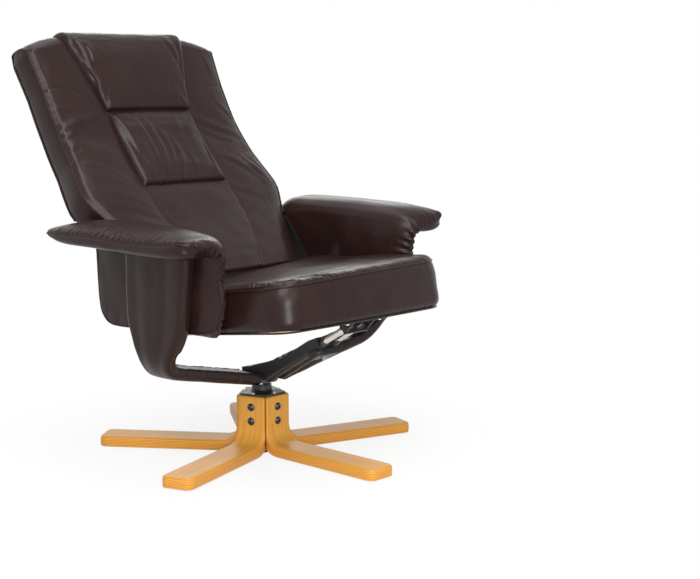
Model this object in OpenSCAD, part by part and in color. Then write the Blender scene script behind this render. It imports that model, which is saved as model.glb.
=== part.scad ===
// Recliner armchair on a five-legged bent plywood base.
// Millimetres. The origin is on the floor under the swivel axis, +Z is up,
// the sitter faces -Y and the sitter's left is +X.

/* [Base] */
// Reach of each leg from the swivel axis
leg_reach = 370; // [320:5:440]
// Width of a leg
leg_w = 75; // [60:1:90]
// Thickness of the bent plywood
leg_t = 24; // [18:1:30]
// Height of the hub that the leg uprights form
hub_h = 131; // [115:1:160]
// Radius of the outer side of the heel bend
heel_r = 58; // [46:1:66]
// Radius of the rounded upper edges of a leg
leg_edge_r = 5; // [3:0.5:8]
// Height of the plastic glides under the legs
glide_h = 3; // [2:0.5:6]

/* [Swivel] */
// Diameter of the swivel spindle
spindle_d = 28; // [22:1:34]
// Wall of the swivel bush
bush_wall = 2.5; // [1.5:0.5:4]
// Wall of the bearing housing
housing_wall = 6; // [4:0.5:9]
// Wall of the five-sided hub tube
core_wall = 4.5; // [3:0.5:6]

/* [Support bracket] */
// Height of the bracket's underside above the hub
bracket_lift = 27; // [24:1:50]
// Rise of the bracket's arms towards the posts, in degrees
bracket_rise = 12; // [4:1:20]
// Outer radius of the bend into the posts
bracket_bend_r = 75; // [60:5:100]
// Thickness of the padded bracket
cover_t = 26; // [20:1:34]
// Thickness of the steel bar inside the bracket
bar_t = 8; // [6:0.5:10]

/* [Arms] */
// Clear width between the two arms
arm_gap = 520; // [440:10:640]
// Height of the posts' tops above the front edge of the seat board
arm_rise = 143; // [130:1:175]
// Thickness of the hanging arm panel
panel_t = 40; // [34:1:50]
// Gap between an arm panel and its post
post_gap = 9; // [4:1:20]
// How far an arm pad overhangs its post
pad_overhang = 57; // [45:1:80]
// Thickness of the plywood arm board
arm_board_t = 15; // [12:1:18]
// Thickness of the steel plate under the arm pad
arm_plate_t = 5; // [3:0.5:8]

/* [Seat] */
// Depth of the seat cushion
seat_depth = 370; // [310:2:450]
// Height of the seat board's front edge above the hub
seat_rise = 206; // [196:1:250]
// Gap between the seat cushion and an arm
seat_clear = 15; // [12:1:25]
// Tilt of the seat board, front up, in degrees
seat_tilt = 7.3; // [3:0.1:9]
// Thickness of the plywood seat board
seat_board_t = 12; // [9:1:18]
// Height of the seat cushion at its front edge
cushion_front_h = 80; // [60:1:100]
// Height of the seat cushion at its rear edge
cushion_rear_h = 95; // [70:1:110]
// Plan radius of the cushion's front corners
seat_corner_r = 48; // [36:1:100]

/* [Glide] */
// Slope of the guide rods, in degrees
glide_slope = 30.5; // [26:0.5:34]
// Travel of the seat along the rods
seat_travel = 65; // [40:1:66]
// Diameter of a guide rod
rod_d = 14; // [10:0.5:16]
// Distance between the rods' axes
rod_pitch = 40; // [36:1:44]

/* [Back] */
// How far the back overhangs each arm's inner face
back_overhang = 20; // [5:1:40]
// Thickness of the back cushion
back_foam_t = 45; // [35:1:55]
// Thickness of the back's plywood shell
back_board_t = 12; // [9:1:15]
// Diameter of the pivot bolts
pivot_d = 10; // [8:0.5:14]
// Thickness of the head pillow
pillow_t = 24; // [12:1:36]
// How far the head pillow stands above the back's top edge
pillow_cap = 10; // [6:1:18]
// Thickness of the lumbar pad
lumbar_t = 15; // [8:1:24]

/* [Hidden] */
$fn = 48;

// Clearances: a plain gap, a running fit on the radius, a drilled hole on the radius
gap = 0.3;
run_fit = 0.05;
drill_fit = 0.2;

// Hub, outwards from the spindle
leg_count = 5;
housing_r = spindle_d / 2 + run_fit + bush_wall + run_fit + housing_wall;
core_r = housing_r + gap + core_wall;
hub_in = core_r + 0.1;
hub_out = hub_in + leg_t;
seam = 1;
tip_r = 14;
tip_bevel = 9;
bolt_d = 8;
bolt_head_d = 18;
bolt_head_h = 5;
bolt_zs = [hub_h - 56, hub_h - 24];
plate_t = 4;
housing_up = 12;
housing_down = 36;
bush_flange_t = 3;
hub_screw_d = 5;
glide_r = 12;

// Swivel stack
collar_z = hub_h + housing_up + bush_flange_t + gap;
collar_h = 4.5;
retainer_z = hub_h - housing_down - gap;
washer_t = 2.5;
clip_t = 2;
clip_groove = 1.5;
spindle_foot = 8;
spindle_flange_r = 36;
spindle_flange_t = 7;

// Main places that follow from the driving sizes
bracket_z = hub_h + bracket_lift;
seat_front = -335;
seat_front_z = hub_h + seat_rise;
post_top = seat_front_z + arm_rise;
arm_in = arm_gap / 2;
panel_out = arm_in + panel_t;
bracket_w = 2 * (panel_out + post_gap + cover_t);
arm_out = bracket_w / 2 + pad_overhang;
board_end = [
    seat_front + seat_depth * cos(seat_tilt),
    seat_front_z - seat_depth * sin(seat_tilt)
];
pivot = [board_end[0] + 157, post_top];
arm_front = seat_front + 160;
arm_rear = pivot[0] + 66;

// Support bracket: depths are measured inwards from its outer skin
bar_in = (cover_t - bar_t) / 2;
bar_z = bracket_z + bar_in;
bar_top = bar_z + bar_t;
flat_half = 50;
cover_start = 42;
bend_x = bracket_w / 2 - bracket_bend_r;
slope_end_x = bend_x + bracket_bend_r * sin(bracket_rise);
bend_z = bracket_z + (slope_end_x - flat_half) * tan(bracket_rise)
    + bracket_bend_r * cos(bracket_rise);
head_bolt_at = [20, 14];
// Side outlines, as front-to-back and height
post_outline = [
    [-42, bracket_z - 10], [-43, bracket_z + 32], [-58, bend_z - 51],
    [-78, bend_z - 17], [-108, bend_z + 19], [-120, bend_z + 56],
    [-130, post_top - 70], [-138, post_top], [60, post_top], [60, post_top - 70],
    [58, bend_z + 56], [48, bend_z + 21], [30, bend_z - 11], [30, bend_z - 47],
    [40, bracket_z + 32], [42, bracket_z - 10]
];
bar_outline = [
    [-25, bracket_z - 10], [-25, bracket_z + 42], [-58, bend_z - 17],
    [-68, bend_z + 21], [-68, post_top - 2], [-8, post_top - 2],
    [-8, bend_z + 21], [0, bend_z - 17], [25, bracket_z + 42], [25, bracket_z - 10]
];

// Arms, outwards from the clear width
board_x = (arm_in + panel_out) / 2 - arm_board_t / 2 + 3.5;
arm_plate_x = [board_x, board_x + 84];
arm_plate_y = [arm_front + 40, pivot[0] - 44];
arm_plate_z = post_top + gap;
pad_z = arm_plate_z + arm_plate_t + gap;
arm_bolt_d = 8;
arm_bolt_at = [[-52, post_top - 85], [-24, post_top - 35]];
// Section of the arm pad, as lateral place and height over the pad's underside
pad_section = [
    [arm_in, 0], [arm_in - 2, 16], [arm_in + 2, 34], [arm_in + 18, 48],
    [arm_in + 46, 55], [arm_in + 78, 54], [arm_out - 26, 44], [arm_out - 8, 30],
    [arm_out, 19], [arm_out - 5, 4], [arm_out - 20, 0]
];
// Side outline of the pad, as front-to-back and height
pad_front = arm_front - 22;
pad_side = concat(
    [[pad_front, pad_z - 1]],
    smooth_open([
        [pad_front, pad_z + 14], [pad_front + 10, pad_z + 32], [pad_front + 45, pad_z + 46],
        [pad_front + 110, pad_z + 57], [arm_rear - 100, pad_z + 57],
        [arm_rear - 40, pad_z + 50], [arm_rear - 8, pad_z + 30], [arm_rear, pad_z + 12]
    ], 3),
    [[arm_rear, pad_z - 1]]
);
// Plan of the pad, as lateral place and front-to-back
pad_plan = [
    [arm_in - 3, arm_front - 4], [arm_in + 12, pad_front + 4], [arm_in + 50, pad_front],
    [arm_out - 30, pad_front], [arm_out - 8, pad_front + 6], [arm_out + 1, pad_front + 20],
    [arm_out + 1, arm_rear - 8],
    [arm_out - 6, arm_rear], [arm_in + 60, arm_rear - 6], [arm_in + 8, arm_rear - 18],
    [arm_in - 3, arm_rear - 30]
];
panel_rear = pivot[0] + 16;
// Side outline of the hanging panel
panel_outline = [
    [arm_front + 3, pad_z + 1], [arm_front + 3, post_top - 60],
    [arm_front + 11, seat_front_z + 13], [arm_front + 34, seat_front_z - 17],
    [arm_front + 115, seat_front_z - 30], [arm_rear - 155, seat_front_z - 38],
    [panel_rear - 50, seat_front_z - 39], [panel_rear - 22, seat_front_z - 25],
    [panel_rear - 7, seat_front_z + 6], [panel_rear - 3, post_top - 90],
    [panel_rear, post_top - 15], [panel_rear, pad_z + 1]
];
board_outline = [
    [arm_front + 30, post_top - 0.2], [arm_front + 34, seat_front_z + 43],
    [arm_front + 70, seat_front_z + 8], [arm_rear - 155, seat_front_z - 7],
    [panel_rear - 52, seat_front_z - 7], [panel_rear - 24, seat_front_z + 16],
    [panel_rear - 10, post_top - 80], [panel_rear - 4, post_top - 10],
    [panel_rear - 4, post_top + 18], [pivot[0] - 13, post_top + 18],
    [pivot[0] - 16, post_top - 0.2]
];

// Seat, in a frame that lies along the board's underside
board_side = 5;
seat_half = arm_in - seat_clear;
board_half = seat_half - board_side;
ear_t = 4.5;
crown = 12;

// Glide: the rods' mouth is where they leave the sleeves
mouth = [seat_front + 121, seat_front_z - 62];
rod_r = rod_d / 2;
rod_bush_wall = 1.5;
sleeve_wall = 1.5;
sleeve_in = rod_r + run_fit + rod_bush_wall + run_fit;
sleeve_out = sleeve_in + sleeve_wall;
sleeve_len = min((mouth[1] - bar_top + 0.5) / sin(glide_slope),
    (-mouth[0] - 42.5) / cos(glide_slope));
sleeve_lip = 4;
bush_len = 20;
bush_lip = 2;
rod_top = 92;
rod_bottom = seat_travel + 8 - sleeve_len;
rear_bush_s = rod_bottom + 8;
channel_half = rod_pitch / 2 + sleeve_out + 1 + 3;
channel_t = 3;
// Upper edge of the glide arm, as front-to-back and height
arm_edge = [
    [28, bar_top + 16], [0, bar_top + 21], mouth + [112, -46],
    mouth + [33, 1], mouth + [8, 11]
];
block_s = [-46, -20];
block_h = 12;
holder_s = [78, 84];

// Back: the side line of its front face, from the seat to the top
back_line = [
    for (p = [
        [-123, -80], [-49, -16], [25, 52], [131, 166],
        [188, 241], [236, 326], [279, 406], [299, 444]
    ])
        pivot + p
];
line_steps = 6;
rear_cover_t = 8;
back_board_inset = 24;
back_board_drop = 30;
hinge_arm = 170;
hinge_lean = 40;
hinge = [pivot[0] - hinge_arm * sin(hinge_lean), pivot[1] - hinge_arm * cos(hinge_lean)];
hinge_d = 8;
hinge_slack = 3;
bracket_x = arm_in - 9.7;
bracket_t = 5;
back_low_half = bracket_x - gap;
flare_z = post_top + 82;
back_w = arm_gap + 2 * back_overhang;
back_screw_at = [pivot + [11, -30], pivot + [73, 28]];

// ---- shared shapes ----

// Catmull-Rom point between b and c
function spline(a, b, c, d, t) =
    0.5 * (2 * b + (c - a) * t + (2 * a - 5 * b + 4 * c - d) * t * t
    + (3 * b - a - 3 * c + d) * t * t * t);

function smooth_open(p, n = line_steps) = concat([
    for (i = [0 : len(p) - 2], j = [0 : n - 1])
        spline(p[max(i - 1, 0)], p[i], p[i + 1], p[min(i + 2, len(p) - 1)], j / n)
], [p[len(p) - 1]]);

function smooth_closed(p, n = 3) = let (m = len(p)) [
    for (i = [0 : m - 1], j = [0 : n - 1])
        spline(p[(i + m - 1) % m], p[i], p[(i + 1) % m], p[(i + 2) % m], j / n)
];

// Points moved to the right of their direction of travel by d
function beside(p, d) = [
    for (i = [0 : len(p) - 1])
        let (t = p[min(i + 1, len(p) - 1)] - p[max(i - 1, 0)])
            p[i] + d * [t[1], -t[0]] / norm(t)
];

function reversed(p) = [for (i = [len(p) - 1 : -1 : 0]) p[i]];

// A side outline, as front-to-back and height, made from x0 to x1
module side_plate(x0, x1) {
    translate([min(x0, x1), 0, 0])
        rotate([90, 0, 90])
            linear_extrude(abs(x1 - x0))
                children();
}

// A front outline, as lateral place and height, made from y0 to y1
module front_plate(y0, y1) {
    translate([0, y1, 0])
        rotate([90, 0, 0])
            linear_extrude(y1 - y0)
                children();
}

// A bar along X at a front-to-back place and height
module cross_pin(at, r, x0, x1) {
    translate([min(x0, x1), at[0], at[1]])
        rotate([0, 90, 0])
            cylinder(r = r, h = abs(x1 - x0));
}

// Repeats what follows at each of the five legs, which lie along +X
module at_each_leg() {
    for (k = [0 : leg_count - 1])
        rotate(-90 + k * 360 / leg_count)
            children();
}

module pentagon(apothem) {
    rotate(-54)
        circle(r = apothem / cos(36), $fn = leg_count);
}

// ---- base ----

// Section of a leg: x from its plain face to its rounded face
module leg_section() {
    r = min(leg_edge_r, leg_t / 2);
    translate([0, -leg_w / 2])
        square([leg_t - r, leg_w]);
    translate([0, -leg_w / 2 + r])
        square([leg_t, leg_w - 2 * r]);
    for (s = [-1, 1])
        translate([leg_t - r, s * (leg_w / 2 - r)])
            circle(r = r);
}

// Plan of a leg: mitred at the hub and rounded at the tip
module leg_plan() {
    intersection() {
        polygon([
            [seam / 2 / sin(36), 0],
            [leg_reach, (leg_reach - seam / 2 / sin(36)) * tan(36)],
            [leg_reach, -(leg_reach - seam / 2 / sin(36)) * tan(36)]
        ]);
        union() {
            translate([0, -leg_w])
                square([leg_reach - tip_r, 2 * leg_w]);
            translate([0, -leg_w / 2 + tip_r])
                square([leg_reach, leg_w - 2 * tip_r]);
            for (s = [-1, 1])
                translate([leg_reach - tip_r, s * (leg_w / 2 - tip_r)])
                    circle(r = tip_r);
        }
    }
}

module leg_blank() {
    translate([hub_in, 0, glide_h + heel_r])
        linear_extrude(hub_h - glide_h - heel_r)
            leg_section();
    translate([hub_in + heel_r, 0, glide_h + heel_r])
        rotate([0, 180, 0])
            rotate([90, 0, 0])
                rotate_extrude(angle = 90, $fn = 96)
                    translate([heel_r, 0])
                        mirror([1, 0])
                            leg_section();
    translate([leg_reach, 0, glide_h])
        rotate([0, -90, 0])
            linear_extrude(leg_reach - hub_in - heel_r)
                leg_section();
}

module leg(k) {
    color("goldenrod")
        rotate(-90 + k * 360 / leg_count)
            difference() {
                intersection() {
                    leg_blank();
                    linear_extrude(hub_h + 1)
                        leg_plan();
                }
                for (z = bolt_zs)
                    translate([hub_in - 1, 0, z])
                        rotate([0, 90, 0])
                            cylinder(r = bolt_d / 2 + drill_fit, h = leg_t + 2);
                translate([hub_in + leg_t / 2, 0, hub_h - 16])
                    cylinder(r = hub_screw_d / 2 + drill_fit, h = 17);
                translate([leg_reach - tip_bevel, -leg_w, glide_h + leg_t])
                    rotate([0, 45, 0])
                        cube([2 * tip_bevel, 2 * leg_w, tip_bevel]);
            }
}

module leg_1() { leg(0); }
module leg_2() { leg(1); }
module leg_3() { leg(2); }
module leg_4() { leg(3); }
module leg_5() { leg(4); }

// A domed bolt whose head sits on z = 0 and whose shank goes down
module domed_bolt(shank) {
    dome_r = (pow(bolt_head_d / 2, 2) + pow(bolt_head_h, 2)) / (2 * bolt_head_h);
    difference() {
        intersection() {
            translate([0, 0, bolt_head_h - dome_r])
                sphere(r = dome_r);
            cylinder(r = bolt_head_d / 2 + 1, h = bolt_head_h + 1);
        }
        translate([0, 0, bolt_head_h - 2.5])
            cylinder(r = 2.9, h = 3, $fn = 6);
    }
    translate([0, 0, -shank])
        cylinder(r = bolt_d / 2, h = shank + 0.5);
}

module leg_bolts() {
    color("black")
        at_each_leg()
            for (z = bolt_zs)
                translate([hub_out, 0, z])
                    rotate([0, 90, 0])
                        domed_bolt(leg_t + core_wall);
}

module leg_glides() {
    color("dimgray")
        at_each_leg()
            translate([leg_reach - 30, 0, 0])
                cylinder(r = glide_r, h = glide_h);
}

module hub_core() {
    color("dimgray")
        difference() {
            translate([0, 0, glide_h])
                linear_extrude(hub_h - glide_h)
                    difference() {
                        pentagon(core_r);
                        pentagon(core_r - core_wall);
                    }
            at_each_leg()
                for (z = bolt_zs)
                    translate([core_r - core_wall - 1, 0, z])
                        rotate([0, 90, 0])
                            cylinder(r = bolt_d / 2 + drill_fit, h = core_wall + 2);
        }
}

module hub_plug() {
    color("black") {
        linear_extrude(glide_h)
            pentagon(core_r);
        linear_extrude(glide_h + 14)
            difference() {
                pentagon(core_r - core_wall - gap);
                pentagon(core_r - core_wall - 3);
            }
    }
}

module hub_plate() {
    color("black")
        difference() {
            union() {
                translate([0, 0, hub_h])
                    linear_extrude(plate_t)
                        pentagon(hub_out - leg_edge_r - 3);
                translate([0, 0, hub_h - housing_down])
                    cylinder(r = housing_r, h = housing_down + housing_up);
                translate([0, 0, hub_h + plate_t])
                    cylinder(r1 = housing_r + 4, r2 = housing_r, h = 4);
            }
            translate([0, 0, hub_h - housing_down - 1])
                cylinder(r = housing_r - housing_wall, h = housing_down + housing_up + 2);
            at_each_leg()
                translate([hub_in + leg_t / 2, 0, hub_h - 1])
                    cylinder(r = hub_screw_d / 2 + drill_fit, h = plate_t + 2);
        }
}

module hub_screws() {
    color("silver")
        at_each_leg()
            translate([hub_in + leg_t / 2, 0, 0]) {
                translate([0, 0, hub_h - 15])
                    cylinder(r = hub_screw_d / 2, h = 15 + plate_t + 1);
                translate([0, 0, hub_h + plate_t])
                    cylinder(r = 4.4, h = 2.5);
            }
}

module swivel_bush() {
    color("ivory")
        difference() {
            union() {
                translate([0, 0, hub_h - housing_down])
                    cylinder(r = housing_r - housing_wall - run_fit, h = housing_down + housing_up + 1);
                translate([0, 0, hub_h + housing_up])
                    cylinder(r = housing_r, h = bush_flange_t);
            }
            translate([0, 0, hub_h - housing_down - 1])
                cylinder(r = spindle_d / 2 + run_fit, h = housing_down + housing_up + bush_flange_t + 2);
        }
}

// ---- swivelling frame ----

module spindle() {
    groove_z = retainer_z - washer_t - clip_t;
    color("black")
        difference() {
            union() {
                translate([0, 0, groove_z - spindle_foot])
                    cylinder(r = spindle_d / 2, h = bar_z - groove_z + spindle_foot - 1);
                translate([0, 0, collar_z])
                    cylinder(r = housing_r - 1, h = collar_h);
                translate([0, 0, bar_z - spindle_flange_t])
                    cylinder(r = spindle_flange_r, h = spindle_flange_t);
            }
            translate([0, 0, groove_z])
                difference() {
                    cylinder(r = spindle_d / 2 + 1, h = clip_t);
                    translate([0, 0, -1])
                        cylinder(r = spindle_d / 2 - clip_groove, h = clip_t + 2);
                }
            at_head_bolts()
                translate([0, 0, bar_z - spindle_flange_t - 1])
                    cylinder(r = bolt_d / 2 + drill_fit, h = spindle_flange_t + 2);
        }
}

module at_head_bolts() {
    for (x = [-1, 1], y = [-1, 1])
        translate([x * head_bolt_at[0], y * head_bolt_at[1], 0])
            children();
}

// Washer under the housing and the clip in the spindle's groove
module spindle_retainer() {
    color("silver") {
        translate([0, 0, retainer_z - washer_t + 0.1])
            difference() {
                cylinder(r = housing_r - 1, h = washer_t - 0.1);
                translate([0, 0, -1])
                    cylinder(r = spindle_d / 2 + drill_fit, h = washer_t + 2);
            }
        translate([0, 0, retainer_z - washer_t - clip_t + 0.1])
            difference() {
                cylinder(r = spindle_d / 2 + 4, h = clip_t - 0.2);
                translate([0, 0, -1])
                    cylinder(r = spindle_d / 2 - clip_groove + 0.1, h = clip_t + 2);
                translate([0, -3, -1])
                    cube([spindle_d, 6, clip_t + 2]);
            }
    }
}

// Path of the bracket at a depth under its outer skin, from the middle up one post
function bracket_path(d) = concat(
    [[0, bracket_z + d], [flat_half - d * tan(bracket_rise / 2), bracket_z + d]],
    [for (a = [bracket_rise : (90 - bracket_rise) / 12 : 90.01])
        [bend_x, bend_z] + (bracket_bend_r - d) * [sin(a), -cos(a)]],
    [[bracket_w / 2 - d, post_top]]
);

module bracket_half(d0, d1, x0) {
    front_plate(-200, 120)
        intersection() {
            polygon(concat(bracket_path(d0), reversed(bracket_path(d1))));
            translate([x0, 0])
                square([bracket_w, post_top * 2]);
        }
}

module bracket_bar() {
    color("dimgray")
        difference() {
            intersection() {
                union() {
                    bracket_half(bar_in, bar_in + bar_t, 0);
                    mirror([1, 0, 0])
                        bracket_half(bar_in, bar_in + bar_t, 0);
                }
                side_plate(-bracket_w, bracket_w)
                    polygon(bar_outline);
            }
            at_head_bolts()
                translate([0, 0, bar_z - 1])
                    cylinder(r = bolt_d / 2 + drill_fit, h = bar_t + 2);
            for (s = [-1, 1], at = arm_bolt_at)
                cross_pin(at, arm_bolt_d / 2 + drill_fit, s * (bracket_w / 2 - cover_t), s * bracket_w / 2);
        }
}

// Padded cover of one side of the bracket, hollow where the bar runs
module bracket_cover(s) {
    color("saddlebrown")
        scale([s, 1, 1])
            difference() {
                intersection() {
                    bracket_half(0, cover_t, cover_start);
                    side_plate(0, bracket_w)
                        polygon(smooth_closed(post_outline));
                }
                intersection() {
                    bracket_half(bar_in - gap, bar_in + bar_t + gap, 0);
                    side_plate(-1, bracket_w)
                        polygon(beside(bar_outline, -gap));
                }
                translate([bracket_w / 2 - bar_in - bar_t - gap, -68 - gap, post_top - 6])
                    cube([bar_t + 2 * gap, 60 + 2 * gap, 7]);
                for (at = arm_bolt_at)
                    cross_pin(at, arm_bolt_d / 2 + gap, bracket_w / 2 - cover_t - 1, bracket_w / 2 - bar_in);
                for (at = arm_bolt_at)
                    cross_pin(at, 8, bracket_w / 2 - bar_in - 1, bracket_w / 2 - bar_in + 5);
            }
}

module bracket_cover_left() { bracket_cover(1); }
module bracket_cover_right() { bracket_cover(-1); }

module head_bolts() {
    color("silver")
        at_head_bolts() {
            translate([0, 0, bar_z - spindle_flange_t - 5])
                cylinder(r = 7, h = 5, $fn = 6);
            translate([0, 0, bar_z - spindle_flange_t - 1])
                cylinder(r = bolt_d / 2, h = spindle_flange_t + bar_t + 12);
            translate([0, 0, bar_top + 5])
                cylinder(r = 7, h = 5, $fn = 6);
        }
}

// ---- glide ----

// Frame whose +Z runs up along the rods, from the mouth of the sleeves
module on_glide() {
    translate([0, mouth[0], mouth[1]])
        rotate([90 - glide_slope, 0, 0])
            children();
}

module at_rods() {
    for (s = [-1, 1])
        translate([s * rod_pitch / 2, 0, 0])
            children();
}

// Height of the rods' axis at a front-to-back place
function axis_z(y) = mouth[1] + (mouth[0] - y) * tan(glide_slope);

module arm_channel(inset) {
    edge = [for (p = arm_edge) [p[0], p[1] - inset * 1.15]];
    polygon(concat(edge, [
        [mouth[0] + 2, axis_z(mouth[0]) - 7 - 20 * inset],
        [-46, bar_top - 20 * inset],
        [28, bar_top - 20 * inset]
    ]));
}

module glide_arm() {
    color("black")
        difference() {
            union() {
                difference() {
                    side_plate(-channel_half, channel_half)
                        arm_channel(0);
                    side_plate(-channel_half + channel_t, channel_half - channel_t)
                        arm_channel(channel_t);
                }
                translate([-channel_half, -26, bar_top])
                    cube([2 * channel_half, 54, 5]);
                intersection() {
                    side_plate(-channel_half, channel_half)
                        arm_channel(0);
                    on_glide()
                        for (s = [-8, -150])
                            translate([-channel_half, -13, s])
                                cube([2 * channel_half, 60, 4]);
                }
            }
            on_glide()
                at_rods()
                    translate([0, 0, -sleeve_len - 1])
                        cylinder(r = sleeve_out + 0.1, h = sleeve_len + 12);
            at_head_bolts()
                translate([0, 0, bar_top - 1])
                    cylinder(r = bolt_d / 2 + drill_fit, h = 8);
        }
}

module sleeve(s) {
    color("dimgray")
        on_glide()
            translate([s * rod_pitch / 2, 0, -sleeve_len])
                difference() {
                    cylinder(r = sleeve_out, h = sleeve_len + sleeve_lip);
                    translate([0, 0, -1])
                        cylinder(r = sleeve_in, h = sleeve_len + sleeve_lip + 2);
                }
}

module sleeve_left() { sleeve(1); }
module sleeve_right() { sleeve(-1); }

module rod_bushes() {
    color("ivory")
        on_glide()
            at_rods()
                difference() {
                    union() {
                        translate([0, 0, rear_bush_s])
                            cylinder(r = sleeve_in - run_fit, h = bush_len);
                        translate([0, 0, sleeve_lip - bush_len])
                            cylinder(r = sleeve_in - run_fit, h = bush_len + 1);
                        translate([0, 0, sleeve_lip])
                            cylinder(r = sleeve_out, h = bush_lip);
                    }
                    translate([0, 0, rear_bush_s - 1])
                        cylinder(r = rod_r + run_fit, h = 8 - rear_bush_s);
                }
}

// Clamp under the sleeves that makes the seat stay where it's left
module friction_block() {
    color("black")
        on_glide()
            translate([0, 0, block_s[0]])
                difference() {
                    translate([-channel_half + 3, -sleeve_out - block_h, 0])
                        cube([2 * channel_half - 6, block_h + 4, block_s[1] - block_s[0]]);
                    at_rods()
                        translate([0, 0, -1])
                            cylinder(r = sleeve_out + 0.1, h = 40);
                    translate([0, -sleeve_out - block_h - 1, 13])
                        rotate([-90, 0, 0])
                            cylinder(r = 4 + drill_fit, h = 60);
                }
}

module friction_screw() {
    color("silver")
        on_glide()
            translate([0, -sleeve_out - block_h, block_s[0] + 13])
                rotate([-90, 0, 0]) {
                    translate([0, 0, -6])
                        cylinder(r = 8, h = 6, $fn = 6);
                    cylinder(r = 4, h = block_h + sleeve_out + 8);
                }
}

// ---- arms ----

module arm_board(s) {
    color("burlywood")
        scale([s, 1, 1])
            difference() {
                side_plate(board_x, board_x + arm_board_t)
                    polygon(board_outline);
                for (at = arm_bolt_at)
                    cross_pin(at, arm_bolt_d / 2 + drill_fit, board_x - 1, board_x + arm_board_t + 1);
                cross_pin(pivot, pivot_d / 2 + drill_fit, board_x - 1, board_x + arm_board_t + 1);
            }
}

module arm_board_left() { arm_board(1); }
module arm_board_right() { arm_board(-1); }

module arm_plate(s) {
    color("black")
        scale([s, 1, 1])
            translate([arm_plate_x[0], arm_plate_y[0], arm_plate_z])
                cube([
                    arm_plate_x[1] - arm_plate_x[0],
                    arm_plate_y[1] - arm_plate_y[0],
                    arm_plate_t
                ]);
}

module arm_plate_left() { arm_plate(1); }
module arm_plate_right() { arm_plate(-1); }

module arm_pad(s) {
    color("saddlebrown")
        scale([s, 1, 1])
            difference() {
                union() {
                    intersection() {
                        translate([0, 0, pad_z])
                            front_plate(pad_front, arm_rear)
                                polygon(smooth_open(pad_section, 3));
                        side_plate(0, arm_out)
                            polygon(pad_side);
                        linear_extrude(pad_z + 100)
                            polygon(pad_plan);
                    }
                    side_plate(arm_in, panel_out)
                        polygon(panel_outline);
                }
                side_plate(board_x - gap, board_x + arm_board_t + gap)
                    polygon(beside(board_outline, gap));
                translate([board_x - gap, arm_plate_y[0] - gap, post_top - 1])
                    cube([
                        bracket_w,
                        arm_plate_y[1] - arm_plate_y[0] + 2 * gap,
                        pad_z - post_top + 1
                    ]);
                for (at = arm_bolt_at)
                    cross_pin(at, arm_bolt_d / 2 + gap, board_x, panel_out + 1);
                cross_pin(pivot, pivot_d / 2 + gap, arm_in - 3, board_x);
            }
}

module arm_pad_left() { arm_pad(1); }
module arm_pad_right() { arm_pad(-1); }

module arm_bolts() {
    color("silver")
        for (s = [-1, 1], at = arm_bolt_at)
            scale([s, 1, 1]) {
                cross_pin(at, arm_bolt_d / 2, board_x + 1, bracket_w / 2 - bar_in + 1);
                cross_pin(at, 7, bracket_w / 2 - bar_in, bracket_w / 2 - bar_in + 4);
            }
}

// Bolt in the arm board that the back's bracket turns on
module pivot_bolt(s) {
    color("silver")
        scale([s, 1, 1]) {
            cross_pin(pivot, pivot_d / 2, bracket_x - gap - 2, board_x + arm_board_t);
            cross_pin(pivot, pivot_d / 2 + 4, bracket_x - gap - 3, bracket_x - gap);
            cross_pin(pivot, pivot_d / 2 + 4, bracket_x + bracket_t + gap, arm_in - gap);
        }
}

module pivot_bolt_left() { pivot_bolt(1); }
module pivot_bolt_right() { pivot_bolt(-1); }

// ---- seat ----

// Frame whose y runs back along the seat board's underside from its front edge
module on_seat() {
    translate([0, seat_front, seat_front_z])
        rotate([-seat_tilt, 0, 0])
            children();
}

module seat_plan(inset) {
    half = seat_half - inset;
    r = seat_corner_r - inset;
    translate([-half, inset + r])
        square([2 * half, seat_depth - 2 * inset - r]);
    translate([-half + r, inset])
        square([2 * (half - r), r + 1]);
    for (s = [-1, 1])
        translate([s * (half - r), inset + r])
            circle(r = r);
}

module seat_board() {
    color("burlywood")
        difference() {
            on_seat()
                linear_extrude(seat_board_t)
                    seat_plan(board_side);
            at_seat_screws()
                translate([0, 0, -1])
                    cylinder(r = 2.5 + drill_fit, h = 10);
        }
}

module at_seat_screws() {
    on_seat()
        for (x = [-1, 1], y = [24, 58])
            translate([x * (channel_half + 14), y, 0])
                children();
}

module seat_cushion() {
    color("saddlebrown")
        on_seat()
            intersection() {
                translate([0, 0, seat_board_t + gap])
                    linear_extrude(200)
                        seat_plan(0);
                side_plate(-seat_half, seat_half)
                    polygon(concat([[-1, 0]], smooth_open([
                        [-1, seat_board_t + cushion_front_h],
                        [70, seat_board_t + cushion_front_h + crown],
                        [seat_depth / 2, seat_board_t + (cushion_front_h + cushion_rear_h) / 2 + crown],
                        [seat_depth - 60, seat_board_t + cushion_rear_h + crown / 2],
                        [seat_depth + 1, seat_board_t + cushion_rear_h]
                    ]), [[seat_depth + 1, 0]]));
            }
}

module rod(s) {
    color("gainsboro")
        on_glide()
            translate([s * rod_pitch / 2, 0, rod_bottom])
                cylinder(r = rod_r, h = rod_top - rod_bottom);
}

module rod_left() { rod(1); }
module rod_right() { rod(-1); }

// Steel bracket under the board that holds the top ends of the rods
module rod_bracket() {
    color("black")
        difference() {
            union() {
                on_seat()
                    translate([-channel_half - 24, 12, -4])
                        cube([2 * channel_half + 48, 60, 4]);
                intersection() {
                    on_seat()
                        translate([-channel_half, 0, -40])
                            cube([2 * channel_half, 100, 38]);
                    on_glide()
                        translate([-channel_half, -14, holder_s[0]])
                            cube([2 * channel_half, 40, holder_s[1] - holder_s[0]]);
                }
                for (s = [-1, 1])
                    on_seat()
                        side_plate(s * (channel_half - 4), s * channel_half)
                            polygon([[18, -2], [62, -2], [62, -16], [46, -24]]);
            }
            on_glide()
                at_rods()
                    cylinder(r = rod_r + 0.1, h = 160);
            at_seat_screws()
                translate([0, 0, -6])
                    cylinder(r = 2.5 + drill_fit, h = 10);
        }
}

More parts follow.
